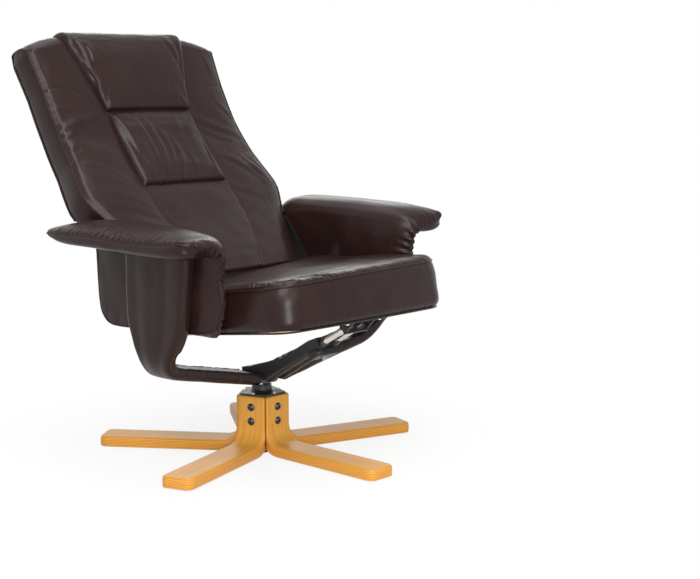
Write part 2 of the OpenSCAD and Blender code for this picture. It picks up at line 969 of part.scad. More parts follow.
module seat_screws() {
    color("silver")
        at_seat_screws() {
            translate([0, 0, -6.5])
                cylinder(r = 5, h = 2.5);
            translate([0, 0, -5])
                cylinder(r = 2.5, h = 13);
        }
}

// Ear on the edge of the seat board, up to the hinge with the back
module seat_hinge(s) {
    x0 = board_half + gap;
    color("black")
        scale([s, 1, 1])
            difference() {
                union() {
                    on_seat()
                        side_plate(x0, x0 + ear_t)
                            polygon([
                                [seat_depth - 130, 0], [seat_depth + 6, 0],
                                [seat_depth + 6, seat_board_t - 1], [seat_depth - 130, seat_board_t - 1]
                            ]);
                    side_plate(x0, x0 + ear_t)
                        polygon([
                            board_end - [12, 0], board_end + [10, -2], hinge + [12, -6],
                            hinge + [-8, 12], board_end + [10, 22], board_end + [2, 10]
                        ]);
                    cross_pin(hinge, hinge_d / 2 + 9, x0, x0 + ear_t);
                }
                cross_pin(hinge, hinge_d / 2 + drill_fit, x0 - 1, x0 + ear_t + 1);
            }
}

module seat_hinge_left() { seat_hinge(1); }
module seat_hinge_right() { seat_hinge(-1); }

// Hinge pin, fast in the seat's ear and loose in the back's bracket
module hinge_pin(s) {
    x0 = board_half + gap;
    color("silver")
        scale([s, 1, 1]) {
            cross_pin(hinge, hinge_d / 2, x0 - 1, arm_in - 2.5);
            cross_pin(hinge, hinge_d / 2 + 3, x0 - 4, x0);
        }
}

module hinge_pin_left() { hinge_pin(1); }
module hinge_pin_right() { hinge_pin(-1); }

// ---- back ----

// Front outline of the back: narrow between the arms, wide above them
module back_outline() {
    half = back_w / 2;
    side = concat(
        [[back_low_half, pivot[1] - 180], [back_low_half, flare_z]],
        smooth_open([
            [half, flare_z + 22], [half - 9, pivot[1] + 166], [half - 13, pivot[1] + 241],
            [half - 13, pivot[1] + 326], [half - 7, pivot[1] + 390],
            [half - 3, pivot[1] + 430], [half - 3, pivot[1] + 500]
        ], 3)
    );
    polygon(concat(side, [for (p = reversed(side)) [-p[0], p[1]]]));
}

// Frame at the top of the back's front face: z runs on up the back and y to its rear
module on_back_top() {
    line_end = len(back_line) - 1;
    run = back_line[line_end] - back_line[line_end - 1];
    translate([0, back_line[line_end][0], back_line[line_end][1]])
        rotate([-atan2(run[0], run[1]), 0, 0])
            children();
}

// Outline of the back's top edge, level in the middle and falling to the sides
module top_outline() {
    half = back_w / 2;
    fall = smooth_open([
        [half - 92, 0], [half - 44, -11], [half - 18, -25], [half - 7, -39],
        [half, -66], [half, -90]
    ], 4);
    polygon(concat(
        fall, [[half + 20, -120], [half + 20, -900], [-half - 20, -900], [-half - 20, -120]],
        [for (p = reversed(fall)) [-p[0], p[1]]]
    ));
}

// A layer of the back between two depths behind its front face
module back_layer(d0, d1) {
    line = smooth_open(back_line);
    intersection() {
        side_plate(-back_w / 2, back_w / 2)
            polygon(concat(beside(line, d0), reversed(beside(line, d1))));
        front_plate(-100, 700)
            back_outline();
        on_back_top()
            front_plate(-120, 300)
                top_outline();
    }
}

module back_board() {
    color("burlywood")
        difference() {
            intersection() {
                back_layer(back_foam_t + gap, back_foam_t + back_board_t);
                on_back_top()
                    translate([back_board_inset - back_w / 2, -200, -back_board_drop - 900])
                        cube([back_w - 2 * back_board_inset, 400, 900]);
            }
            for (s = [-1, 1], at = back_screw_at)
                cross_pin(at, 2.5 + drill_fit, s * (back_low_half - 22), s * (back_low_half + 1));
        }
}

module back_cushion() {
    color("saddlebrown")
        difference() {
            back_layer(0, back_foam_t);
            for (s = [-1, 1])
                cross_pin(pivot, pivot_d / 2 + 5, s * (back_low_half - 5), s * (back_low_half + 1));
        }
}

module rear_cover() {
    depth = back_foam_t + back_board_t + gap;
    color("saddlebrown")
        back_layer(depth, depth + rear_cover_t);
}

// A pad on the front face between two heights, as wide as given at each
module front_pad(t, z0, z1, half0, half1) {
    line = smooth_open(back_line);
    intersection() {
        side_plate(-back_w / 2, back_w / 2)
            polygon(concat(beside(line, -gap - t), reversed(beside(line, -gap))));
        front_plate(-100, 700)
            polygon([[-half0, z0], [half0, z0], [half1, z1], [-half1, z1]]);
    }
}

module lumbar_pad() {
    color("saddlebrown")
        front_pad(lumbar_t, pivot[1] + 92, pivot[1] + 258, 126, 123);
}

// Pillow on the front face that also wraps over the top edge
module head_pillow() {
    low_z = pivot[1] + 262;
    cap_start = -40;
    half = 178;
    side = smooth_open([
        [124, low_z], [138, low_z + 68], [153, low_z + 117], [170, low_z + 158],
        [half, low_z + 190], [half, low_z + 260]
    ], 4);
    color("saddlebrown")
        intersection() {
            union() {
                intersection() {
                    front_pad(pillow_t, low_z, low_z + 260, half, half);
                    on_back_top()
                        translate([-half, -200, cap_start - 500])
                            cube([2 * half, 400, 500.1]);
                }
                on_back_top()
                    side_plate(-half, half)
                        polygon(concat(
                            smooth_open([
                                [-pillow_t - gap, cap_start], [-pillow_t + 2, cap_start + 22],
                                [-pillow_t + 11, cap_start + 38], [-2, pillow_cap - 1],
                                [16, pillow_cap], [back_foam_t - 12, pillow_cap - 3],
                                [back_foam_t, gap]
                            ], 4),
                            [[-1.5 * gap, gap], [-1.5 * gap, cap_start]]
                        ));
            }
            front_plate(-100, 700)
                polygon(concat(side, [for (p = reversed(side)) [-p[0], p[1]]]));
        }
}

// Side plate of the back that turns on the arm's pivot bolt
module back_bracket(s) {
    color("black")
        scale([s, 1, 1])
            difference() {
                union() {
                    side_plate(bracket_x, bracket_x + bracket_t)
                        polygon([
                            hinge + [-10, 9], hinge + [12, -8], pivot + [16, -46],
                            pivot + [93, 20], pivot + [101, 45], pivot + [81, 52],
                            pivot + [-14, 12]
                        ]);
                    cross_pin(hinge, hinge_d / 2 + hinge_slack + 6, bracket_x, bracket_x + bracket_t);
                    cross_pin(pivot, pivot_d / 2 + 13, bracket_x, bracket_x + bracket_t);
                }
                cross_pin(pivot, pivot_d / 2 + run_fit, bracket_x - 1, bracket_x + bracket_t + 1);
                cross_pin(hinge, hinge_d / 2 + hinge_slack, bracket_x - 1, bracket_x + bracket_t + 1);
                for (at = back_screw_at)
                    cross_pin(at, 2.5 + drill_fit, bracket_x - 1, bracket_x + bracket_t + 1);
            }
}

module back_bracket_left() { back_bracket(1); }
module back_bracket_right() { back_bracket(-1); }

module back_screws() {
    color("silver")
        for (s = [-1, 1], at = back_screw_at)
            scale([s, 1, 1]) {
                cross_pin(at, 2.5, back_low_half - 20, bracket_x + bracket_t + 0.5);
                cross_pin(at, 4.5, bracket_x + bracket_t, bracket_x + bracket_t + 2);
            }
}

leg_1();
leg_2();
leg_3();
leg_4();
leg_5();
leg_bolts();
leg_glides();
hub_core();
hub_plug();
hub_plate();
hub_screws();
swivel_bush();
spindle();
spindle_retainer();
bracket_bar();
bracket_cover_left();
bracket_cover_right();
head_bolts();
glide_arm();
sleeve_left();
sleeve_right();
rod_bushes();
friction_block();
friction_screw();
arm_board_left();
arm_board_right();
arm_plate_left();
arm_plate_right();
arm_pad_left();
arm_pad_right();
arm_bolts();
pivot_bolt_left();
pivot_bolt_right();
seat_board();
seat_cushion();
rod_left();
rod_right();
rod_bracket();
seat_hinge_left();
seat_hinge_right();
hinge_pin_left();
hinge_pin_right();
seat_screws();
back_board();
back_cushion();
rear_cover();
lumbar_pad();
head_pillow();
back_bracket_left();
back_bracket_right();
back_screws();
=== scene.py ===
"""Recliner armchair on a five-legged wooden base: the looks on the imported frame."""
import math

import bpy
import numpy as np
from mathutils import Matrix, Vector


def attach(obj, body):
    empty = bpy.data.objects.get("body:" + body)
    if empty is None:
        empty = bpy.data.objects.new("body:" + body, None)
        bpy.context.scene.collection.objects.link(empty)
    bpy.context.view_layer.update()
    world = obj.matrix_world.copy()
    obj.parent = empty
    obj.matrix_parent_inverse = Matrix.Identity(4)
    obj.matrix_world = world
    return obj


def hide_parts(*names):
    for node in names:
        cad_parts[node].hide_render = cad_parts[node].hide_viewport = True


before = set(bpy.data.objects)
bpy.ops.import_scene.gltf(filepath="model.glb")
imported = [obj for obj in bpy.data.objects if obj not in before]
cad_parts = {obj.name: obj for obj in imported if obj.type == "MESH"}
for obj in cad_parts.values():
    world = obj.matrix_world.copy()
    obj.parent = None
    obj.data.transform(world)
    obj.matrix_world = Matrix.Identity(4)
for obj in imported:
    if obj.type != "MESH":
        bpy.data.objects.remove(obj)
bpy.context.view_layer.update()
scene = bpy.context.scene
scene.view_settings.view_transform = "Standard"

MM = 0.001
WHITE = (1, 1, 1, 1)


# ---------------------------------------------------------------- nodes

class Nodes:
    """An emptied node tree that new nodes are put into."""

    def __init__(self, owner):
        owner.use_nodes = True
        self.tree = owner.node_tree
        self.tree.nodes.clear()

    def put(self, kind, sockets=None, **settings):
        """A new node whose inputs are given values or another node's outputs."""
        node = self.tree.nodes.new("ShaderNode" + kind)
        for key, value in settings.items():
            setattr(node, key, value)
        for key, value in (sockets or {}).items():
            if isinstance(value, bpy.types.NodeSocket):
                self.tree.links.new(value, node.inputs[key])
            else:
                node.inputs[key].default_value = value
        return node

    def get(self, kind, sockets=None, output=0, **settings):
        """One output of a new node."""
        return self.put(kind, sockets, **settings).outputs[output]

    def math(self, operation, *values):
        return self.get("Math", dict(enumerate(values)), operation=operation)

    def mix_shaders(self, part, first, second):
        return self.get("MixShader", {0: part, 1: first, 2: second})

    def seen_directly(self):
        """1 for camera, glossy and transmission rays, 0 for the rays that light the object."""
        ray = self.put("LightPath").outputs
        seen = self.math("MAXIMUM", ray["Is Camera Ray"], ray["Is Glossy Ray"])
        return self.math("MAXIMUM", seen, ray["Is Transmission Ray"])


# ---------------------------------------------------------------- camera, light and floor

CAMERA_AT, CAMERA_HEADING, CAMERA_PITCH = (-2.209, -2.369, 0.851), 46.5, 8.56
SENSOR_MM, LENS_MM = 36.0, 75.65
# name, place, aimed at, width, height, power in watts
LAMPS = [
    ("key", (-2.3, -1.7, 2.6), (0, 0, 0.5), 1.6, 1.6, 58),
    ("strip", (-1.9, -2.7, 0.75), (0, 0, 0.5), 1.0, 1.0, 46),
    ("front", (-0.7, -3.0, 1.9), (0, 0, 0.5), 1.0, 1.2, 10),
    ("high", (-0.5, -0.9, 3.0), (0, 0.1, 0.6), 0.6, 2.2, 38),
    ("top", (0.2, 1.0, 3.0), (0, 0.1, 0.5), 1.6, 1.6, 12),
    ("rear", (2.2, 2.6, 1.9), (0, 0.1, 0.5), 2.2, 1.0, 15),
]
SKY_LIGHT, SKY_SHOWN = 0.42, 1.0
FLOOR_HALF, FLOOR_GREY = 14.0, (0.86, 0.86, 0.86, 1)
# how much plain white covers the shown floor, by the distance from the middle
PLAIN_WHITE = {"From Min": 0.2, "From Max": 0.8, "To Min": 0.84, "To Max": 1.0}


def put_in_scene(name, data):
    """A new object of the scene that shows the given data."""
    thing = bpy.data.objects.new(name, data)
    scene.collection.objects.link(thing)
    return thing


def aim(thing, place, direction):
    """Places a camera or lamp and turns it to look in a direction."""
    thing.location = place
    thing.rotation_mode = "QUATERNION"
    thing.rotation_quaternion = direction.to_track_quat("-Z", "Y")


def make_camera():
    """The photo's view, from the front and the chair's right."""
    data = bpy.data.cameras.new("camera")
    data.sensor_width, data.lens = SENSOR_MM, LENS_MM
    camera = put_in_scene("camera", data)
    heading, pitch = math.radians(CAMERA_HEADING), math.radians(CAMERA_PITCH)
    aim(camera, CAMERA_AT, Vector((math.sin(heading) * math.cos(pitch),
                                   math.cos(heading) * math.cos(pitch), -math.sin(pitch))))
    scene.camera = camera


def make_lights():
    for name, place, target, width, height, power in LAMPS:
        data = bpy.data.lights.new(name, "AREA")
        data.shape = "RECTANGLE"
        data.size, data.size_y = width, height
        data.energy = power
        aim(put_in_scene(name, data), place, Vector(target) - Vector(place))


def make_world():
    """A pale sky that lights the object softly and shows as white."""
    world = bpy.data.worlds.new("studio")
    scene.world = world
    n = Nodes(world)
    lit, shown = (n.get("Background", {"Color": WHITE, "Strength": strength})
                  for strength in (SKY_LIGHT, SKY_SHOWN))
    n.put("OutputWorld", {0: n.mix_shaders(n.seen_directly(), lit, shown)})


def make_floor():
    """A pale floor that keeps the object's shadow and runs out into white."""
    material = bpy.data.materials.new("floor_white")
    n = Nodes(material)
    lit = n.get("BsdfDiffuse", {"Color": FLOOR_GREY})
    glow = n.get("Emission", {"Color": WHITE})
    place = n.get("NewGeometry", output="Position")
    reach = n.get("VectorMath", {0: place}, "Value", operation="LENGTH")
    part = n.get("MapRange", {"Value": reach, **PLAIN_WHITE}, interpolation_type="SMOOTHSTEP")
    shown = n.mix_shaders(part, lit, glow)
    n.put("OutputMaterial", {0: n.mix_shaders(n.seen_directly(), lit, shown)})
    mesh = bpy.data.meshes.new("floor")
    corners = [(-1, -1), (1, -1), (1, 1), (-1, 1)]
    mesh.from_pydata([(x * FLOOR_HALF, y * FLOOR_HALF, 0) for x, y in corners], [],
                     [(0, 1, 2, 3)])
    mesh.materials.append(material)
    floor = put_in_scene("floor", mesh)


# ---------------------------------------------------------------- materials

class Shader(Nodes):
    """A Principled material built up node by node, in object coordinates."""

    def __init__(self, name, roughness, others=None):
        self.material = bpy.data.materials.new(name)
        super().__init__(self.material)
        self.bsdf = self.put("BsdfPrincipled", {"Roughness": roughness, **(others or {})})
        self.put("OutputMaterial", {0: self.bsdf.outputs[0]})
        self.place = self.get("TexCoord", output="Object")
        self.normal = None

    def mapped(self, scale=(1, 1, 1), turn=0.0):
        return self.get("Mapping", {"Vector": self.place, "Scale": scale,
                                    "Rotation": (0, 0, turn)})

    def noise(self, scale, detail=3.0, vector=None, distortion=0.0):
        return self.get("TexNoise", {"Vector": vector or self.place, "Scale": scale,
                                     "Detail": detail, "Distortion": distortion}, "Fac")

    def cell_edges(self, scale):
        return self.get("TexVoronoi", {"Vector": self.place, "Scale": scale}, "Distance",
                        feature="DISTANCE_TO_EDGE")

    def ramp(self, value, stops):
        """A colour by value, through stops given as places and colours."""
        node = self.put("ValToRGB", {0: value})
        elements = node.color_ramp.elements
        while len(elements) < len(stops):
            elements.new(0.5)
        for element, (at, color) in zip(elements, stops):
            element.position = at
            element.color = (*color, 1)
        return node.outputs[0]

    def between(self, value, low, high):
        """0 up to the low value and 1 from the high one on."""
        return self.ramp(value, [(low, (0, 0, 0)), (high, (1, 1, 1))])

    def mixed(self, part, first, second):
        """A blend of two colours, each given as a triple or as an output."""
        first, second = ((*value, 1) if isinstance(value, tuple) else value
                         for value in (first, second))
        return self.get("Mix", {0: part, 6: first, 7: second}, 2, data_type="RGBA")

    def link(self, output, name):
        self.tree.links.new(output, self.bsdf.inputs[name])

    def color(self, value):
        self.link(value, "Base Color")

    def roughness(self, value, low, high):
        """Roughness from low to high as the value goes from 0 to 1."""
        self.link(self.get("MapRange", {"Value": value, "To Min": low, "To Max": high}),
                  "Roughness")

    def bump(self, value, depth, strength):
        """Adds relief of a depth in metres over the relief that is already there."""
        below = {} if self.normal is None else {"Normal": self.normal}
        self.normal = self.get("Bump", {"Height": value, "Distance": depth,
                                        "Strength": strength, **below})
        self.link(self.normal, "Normal")


# in metres: the radius of a leg's bend on the side towards the axis and the floor
HEEL_R, PLY_T = 0.058, 0.0034
HEEL_FROM_AXIS, HEEL_FROM_FLOOR = 0.0275 + HEEL_R, 0.003 + HEEL_R
LEG_TIP_FROM_AXIS = 0.3
LEATHER_DARK, LEATHER_LIGHT = (0.0150, 0.0062, 0.0056), (0.0210, 0.0094, 0.0085)
BEECH, BEECH_DARK, BEECH_LIGHT = (0.64, 0.31, 0.048), (0.49, 0.20, 0.022), (0.73, 0.41, 0.080)
PLY, PLY_GLUE = (0.67, 0.315, 0.050), (0.38, 0.13, 0.017)


def leather_material():
    """Leatherette: fine cells, a grain and a slow unevenness, with a soft shine."""
    s = Shader("brown_leather", 0.3, {"Specular IOR Level": 0.2})
    s.color(s.ramp(s.noise(7.0, 4.0), [(0.3, LEATHER_DARK), (0.72, LEATHER_LIGHT)]))
    s.roughness(s.noise(38.0), 0.26, 0.34)
    s.bump(s.between(s.cell_edges(560.0), 0.0, 0.14), 0.00004, 0.35)
    s.bump(s.noise(210.0), 0.0003, 0.25)
    s.bump(s.noise(34.0), 0.0008, 0.25)
    return s.material


def beech_material(name, turn):
    """Lacquered bent plywood: long grain on the faces and glued layers on the edges."""
    s = Shader(name, 0.36, {"Specular IOR Level": 0.25})
    outwards, across, up = s.put("SeparateXYZ", {0: s.mapped(turn=turn)}).outputs
    # the depth from the face towards the axis and the floor, which follows the bend
    before = s.math("MAXIMUM", s.math("SUBTRACT", HEEL_FROM_AXIS, outwards), 0.0)
    below = s.math("MAXIMUM", s.math("SUBTRACT", HEEL_FROM_FLOOR, up), 0.0)
    squares = s.math("ADD", s.math("MULTIPLY", before, before), s.math("MULTIPLY", below, below))
    layer = s.math("SUBTRACT", HEEL_R, s.math("SQRT", squares))
    wave = s.math("SINE", s.math("MULTIPLY", layer, 2 * math.pi / PLY_T))
    glue = s.between(wave, 0.45, 0.95)
    # the layers show where the surface faces sideways or outwards along the leg
    facing = s.get("VectorRotate", {"Vector": s.get("NewGeometry", output="Normal"),
                                    "Angle": turn}, rotation_type="Z_AXIS")
    normal = s.put("SeparateXYZ", {0: facing}).outputs
    at_tip = s.math("GREATER_THAN", outwards, LEG_TIP_FROM_AXIS)
    tip = s.math("MULTIPLY", s.math("MAXIMUM", normal[0], 0.0), at_tip)
    edge = s.between(s.math("MAXIMUM", s.math("ABSOLUTE", normal[1]), tip), 0.35, 0.75)
    grain_place = s.get("CombineXYZ", {
        0: s.math("MULTIPLY", s.math("ADD", outwards, up), 0.05), 1: across,
        2: s.math("MULTIPLY", layer, 0.6)})
    grain = s.noise(210.0, 5.0, grain_place, 0.6)
    broad = s.noise(38.0, 2.0, grain_place, 0.4)
    face = s.mixed(s.between(grain, 0.35, 0.7), BEECH, BEECH_DARK)
    face = s.mixed(s.math("MULTIPLY", broad, 0.45), face, BEECH_LIGHT)
    s.color(s.mixed(edge, face, s.mixed(glue, PLY, PLY_GLUE)))
    s.bump(grain, 0.0002, 0.25)
    return s.material


def plywood_material():
    """The bare plywood of the boards, with its grain drawn out in depth."""
    s = Shader("raw_plywood", 0.62)
    grain = s.noise(1.0, 5.0, s.mapped(scale=(26.0, 2.2, 26.0)), 0.8)
    s.color(s.ramp(grain, [(0.3, (0.36, 0.24, 0.13)), (0.6, (0.47, 0.34, 0.20)),
                           (0.8, (0.52, 0.39, 0.25))]))
    s.bump(s.noise(240.0), 0.0003, 0.4)
    return s.material


def plain_material(name, dark, light, roughness, metallic, scale, depth, others):
    """A painted, plated or moulded surface with a faint unevenness of its own."""
    s = Shader(name, roughness, {"Metallic": metallic, **others})
    s.color(s.ramp(s.noise(scale, 4.0), [(0.3, dark), (0.75, light)]))
    s.roughness(s.noise(scale * 2.5), roughness * 0.85, min(1.0, roughness * 1.2))
    s.bump(s.noise(scale * 14, 2.0), depth, 0.3)
    return s.material


# ---------------------------------------------------------------- lines and sheets, in mm

NOISE_TABLE = 400
SEWN_REACH = 1.4


def sampled(values, at):
    """Catmull-Rom values of the rows of an array at fractional row numbers."""
    values, at = np.asarray(values, float), np.asarray(at, float)
    i = np.clip(np.floor(at).astype(int), 0, len(values) - 2)
    t = (at - i).reshape((-1,) + (1,) * (values.ndim - 1))
    p = np.concatenate([[2 * values[0] - values[1]], values, [2 * values[-1] - values[-2]]])
    a, b, c, d = p[i], p[i + 1], p[i + 2], p[i + 3]
    return 0.5 * (2 * b + (c - a) * t + (2 * a - 5 * b + 4 * c - d) * t * t
                  + (3 * b - a - 3 * c + d) * t ** 3)


def smooth_line(points, steps):
    """A Catmull-Rom line through the points, with a number of steps between each two."""
    last = len(points) - 1
    return sampled(points, np.linspace(0, last, last * steps + 1))


def finer(sheet, rows, columns):
    """A sheet at fractional rows and columns of a coarser one."""
    first = sampled(sheet, rows)
    return sampled(first.transpose(1, 0, 2), columns).transpose(1, 0, 2)


def lengths_along(points, axis=0):
    """The length run along a line, or along one axis of a sheet, at each of its points."""
    step = np.linalg.norm(np.diff(points, axis=axis), axis=-1)
    pad = np.zeros_like(np.take(step, [0], axis=axis))
    return np.concatenate([pad, np.cumsum(step, axis=axis)], axis=axis)


def to_either_side(sheet):
    """The length along the rows of a sheet to the nearer of their two ends."""
    run = lengths_along(sheet, 1)
    return np.minimum(run, run[:, -1:] - run)


def resampled(points, count):
    """Points evenly spaced along a line."""
    points = np.asarray(points, float)
    along = lengths_along(points)
    wanted = np.linspace(0, along[-1], count)
    return np.column_stack([np.interp(wanted, along, points[:, k])
                            for k in range(points.shape[1])])


def loft(guides, rows, columns):
    """A sheet through guide lines: rows step across the guides, columns run along them."""
    lines = np.array([resampled(smooth_line(g, 10), columns) for g in guides])
    dense = smooth_line(lines, 8)
    along = lengths_along(dense).mean(1)
    wanted = np.interp(np.linspace(0, along[-1], rows), along, np.arange(len(dense)))
    return sampled(dense, wanted)


def stations(length, near, far, places=(0.0, 1.0), reach=26.0):
    """Positions from 0 to 1 along a length, close together near the given places."""
    samples = 2000
    x = np.linspace(0, length, samples + 1)
    away = np.min([np.abs(x - p * length) for p in places], axis=0)
    step = near + (far - near) * np.clip(away / reach, 0, 1)
    count = np.concatenate([[0], np.cumsum(1 / step[1:] * length / samples)])
    total = max(2, int(round(count[-1])))
    return np.interp(np.linspace(0, count[-1], total + 1), count, x / length)


def normals(sheet, toward):
    """Unit normals of a sheet, on the side of the given direction or point array."""
    n = np.cross(np.gradient(sheet, axis=0), np.gradient(sheet, axis=1))
    n /= np.linalg.norm(n, axis=-1, keepdims=True) + 1e-9
    return n if np.sum(n * toward) > 0 else -n


def blended(first, second, parts):
    """Rows that step from one line to another, at the given parts of the way."""
    t = np.asarray(parts)[:, None, None]
    return first[None] * (1 - t) + second[None] * t


# ---------------------------------------------------------------- relief, in mm

def fade(d, reach):
    """1 at a distance of 0 or below, falling to nothing past the reach."""
    return np.exp(-(np.clip(d, 0, None) / reach) ** 2)


def ease(t):
    """0 up to t = 0 and 1 from t = 1 on, with a soft start and end."""
    t = np.clip(t, 0, 1)
    return t * t * (3 - 2 * t)


def filled(d, reach):
    """A surface that rises quickly from a seam at distance d and then stays level."""
    return 1 - np.exp(-d / reach)


def pad_edge(d, roll):
    """A quarter round: 0 at an edge and 1 from a distance of the roll on."""
    return np.sqrt(np.clip(1 - (1 - np.clip(d / roll, 0, 1)) ** 2, 0, 1))


def uneven(x, length, seed):
    """A smooth random value from -1 to 1 that changes over about the given length."""
    x = np.asarray(x, float) / length + 40
    table = np.random.default_rng(seed).uniform(-1, 1, NOISE_TABLE)
    i = np.floor(x).astype(int)
    t = ease(x - i)
    return table[i % NOISE_TABLE] * (1 - t) + table[(i + 1) % NOISE_TABLE] * t


def ripples(x, y, length, seed):
    """A random field over x and y with waves of about the given length."""
    waves = 9
    r = np.random.default_rng(seed)
    total = np.zeros(np.broadcast(x, y).shape)
    for _ in range(waves):
        a = r.uniform(-math.pi, math.pi)
        k = 2 * math.pi / (length * r.uniform(0.7, 1.5))
        total += np.sin(k * (x * math.cos(a) + y * math.sin(a)) + r.uniform(0, 6.28))
    return total / waves ** 0.5


def gathers(along, d, pitch, depth, reach, seed, slant=0.0):
    """Uneven pleats that start at a seam and run out over the leather.

    They follow each other along the seam by the pitch, and lie within the reach of it.
    """
    at = along + slant * d
    phase = 2 * math.pi * at / pitch + 2.3 * uneven(at, pitch * 2.7, seed)
    own = 0.55 + 0.45 * uneven(at, pitch * 1.9, seed + 1)
    run = reach * (0.75 + 0.45 * uneven(at, pitch * 1.4, seed + 2))
    valley = ((1 + np.cos(phase)) / 2) ** 1.8
    return depth * own * (0.45 - valley) * fade(d, run) * (1 - fade(d, 2.0))


def near_line(x, y, line):
    """Signed distance to a drawn line and the place along it, from 0 to 1."""
    line = smooth_line(line, 5)
    total = lengths_along(line)
    best = np.full(np.shape(x), 1e9)
    signed, place = best.copy(), np.zeros(np.shape(x))
    for k in range(len(line) - 1):
        a, b = line[k], line[k + 1]
        u = b - a
        size = math.hypot(*u)
        t = np.clip(((x - a[0]) * u[0] + (y - a[1]) * u[1]) / size ** 2, 0, 1)
        px, py = x - a[0] - t * u[0], y - a[1] - t * u[1]
        d = np.hypot(px, py)
        side = np.where(u[0] * py - u[1] * px >= 0, 1.0, -1.0)
        closer = d < best
        best = np.where(closer, d, best)
        signed = np.where(closer, d * side, signed)
        place = np.where(closer, (total[k] + t * size) / total[-1], place)
    return signed, place


def crease(x, y, line, width, height, sharp):
    """A fold: a ridge along a line with a valley beside it, dying away at both ends."""
    d, t = near_line(x, y, line)
    ends = np.sin(np.pi * np.clip(t, 0.02, 0.98)) ** 0.6
    reach = width * (0.6 + 0.4 * ends)
    ridge = np.exp(-(d / reach) ** 2)
    valley = np.exp(-((d + 1.5 * reach) / (reach * (1 - 0.4 * sharp))) ** 2)
    return height * ends * (ridge - sharp * valley)


def creases(x, y, folds, sharp):
    """All the folds of a table whose rows are width, height and points."""
    return sum(crease(x, y, line, width, height, sharp) for width, height, line in folds)


def groove(d, depth, width, soft, wide):
    """The dip along a sewn line at distance d."""
    return -depth * np.exp(-(d / width) ** 2) - soft * np.exp(-(d / wide) ** 2)


def sewn_down(bump, *distances, reach=SEWN_REACH):
    """The relief, running out towards the edges that lie at the given distances."""
    for d in distances:
        bump = bump * (1 - fade(d, reach))
    return bump


# ---------------------------------------------------------------- meshes

WELD_PER_MM = 20


def sheet_faces(rows, columns, flip=False, wrap=False):
    """The four-sided faces of a grid of points, closed round on itself if wrapped."""
    i, j = np.meshgrid(np.arange(rows - 1), np.arange(columns - (0 if wrap else 1)),
                       indexing="ij")
    k = (j + 1) % columns
    faces = np.stack([i * columns + j, i * columns + k, (i + 1) * columns + k,
                      (i + 1) * columns + j], -1).reshape(-1, 4)
    return faces[:, ::-1] if flip else faces


def add_mesh(name, points, faces, material, body):
    """A mesh piece with coincident points merged, riding on a body."""
    points = np.asarray(points)
    _, first, back_to = np.unique(np.round(points * WELD_PER_MM).astype(np.int64), axis=0,
                                  return_index=True, return_inverse=True)
    back_to = back_to.reshape(-1)
    merged = []
    for face in faces:
        loop = [int(back_to[i]) for i in face]
        loop = [v for k, v in enumerate(loop) if v != loop[k - 1]]
        if len(loop) > 2 and len(set(loop)) == len(loop):
            merged.append(loop)
    mesh = bpy.data.meshes.new(name)
    mesh.from_pydata((points[first] * MM).tolist(), [], merged)
    mesh.materials.append(material)
    mesh.polygons.foreach_set("use_smooth", [True] * len(mesh.polygons))
    mesh.update()
    piece = put_in_scene(name, mesh)
    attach(piece, body)
    return piece


def add_leather(name, points, faces, body):
    return add_mesh(name, points, faces, leather, body)


def add_sheets(name, sheets, body, mirror=(1.0, 1.0, 1.0)):
    """One piece from sheets given as (points, outward direction), welded at their edges."""
    points, faces, count = [], [], 0
    for sheet, toward in sheets:
        sheet, toward = sheet * np.array(mirror), toward * np.array(mirror)
        n = np.cross(np.gradient(sheet, axis=0), np.gradient(sheet, axis=1))
        flip = np.sum(n * toward) > 0
        faces += (sheet_faces(*sheet.shape[:2], flip=flip) + count).tolist()
        points.append(sheet.reshape(-1, 3))
        count += sheet.shape[0] * sheet.shape[1]
    return add_leather(name, np.concatenate(points), faces, body)


def tube(name, path, radius, body, sides=8):
    """A piping, cord or thread along a line of points."""
    path = np.asarray(path, float)
    tangent = np.gradient(path, axis=0)
    tangent /= np.linalg.norm(tangent, axis=1)[:, None] + 1e-12
    side = np.cross(tangent[0], [0.13, 0.31, 0.94])
    frames = []
    for t in tangent:
        side = side - t * (side @ t)
        side /= np.linalg.norm(side)
        frames.append(side)
    frames = np.array(frames)
    other = np.cross(tangent, frames)
    turn = np.linspace(0, 2 * math.pi, sides, endpoint=False)
    size = radius * (1 + 0.06 * uneven(lengths_along(path), 9.0, 5))
    ring = path[:, None] + size[:, None, None] * (
        frames[:, None] * np.cos(turn)[None, :, None]
        + other[:, None] * np.sin(turn)[None, :, None])
    return add_leather(name, ring.reshape(-1, 3), capped_faces(len(path), sides), body)


def capped_faces(rows, columns):
    """The faces of a tube of rings, with a face over each end."""
    ends = [list(range(columns))[::-1], list(range((rows - 1) * columns, rows * columns))]
    return sheet_faces(rows, columns, wrap=True).tolist() + ends


CLOTH = {
    "quality": 6, "mass": 0.25, "air_damping": 3.0,
    "tension_stiffness": 14.0, "compression_stiffness": 14.0, "shear_stiffness": 8.0,
    "tension_damping": 8.0, "compression_damping": 8.0, "shear_damping": 8.0,
    "bending_damping": 1.0, "pin_stiffness": 1.0, "use_pressure": True, "shrink_min": 0.0,
}
CLOTH_FRAMES = 20


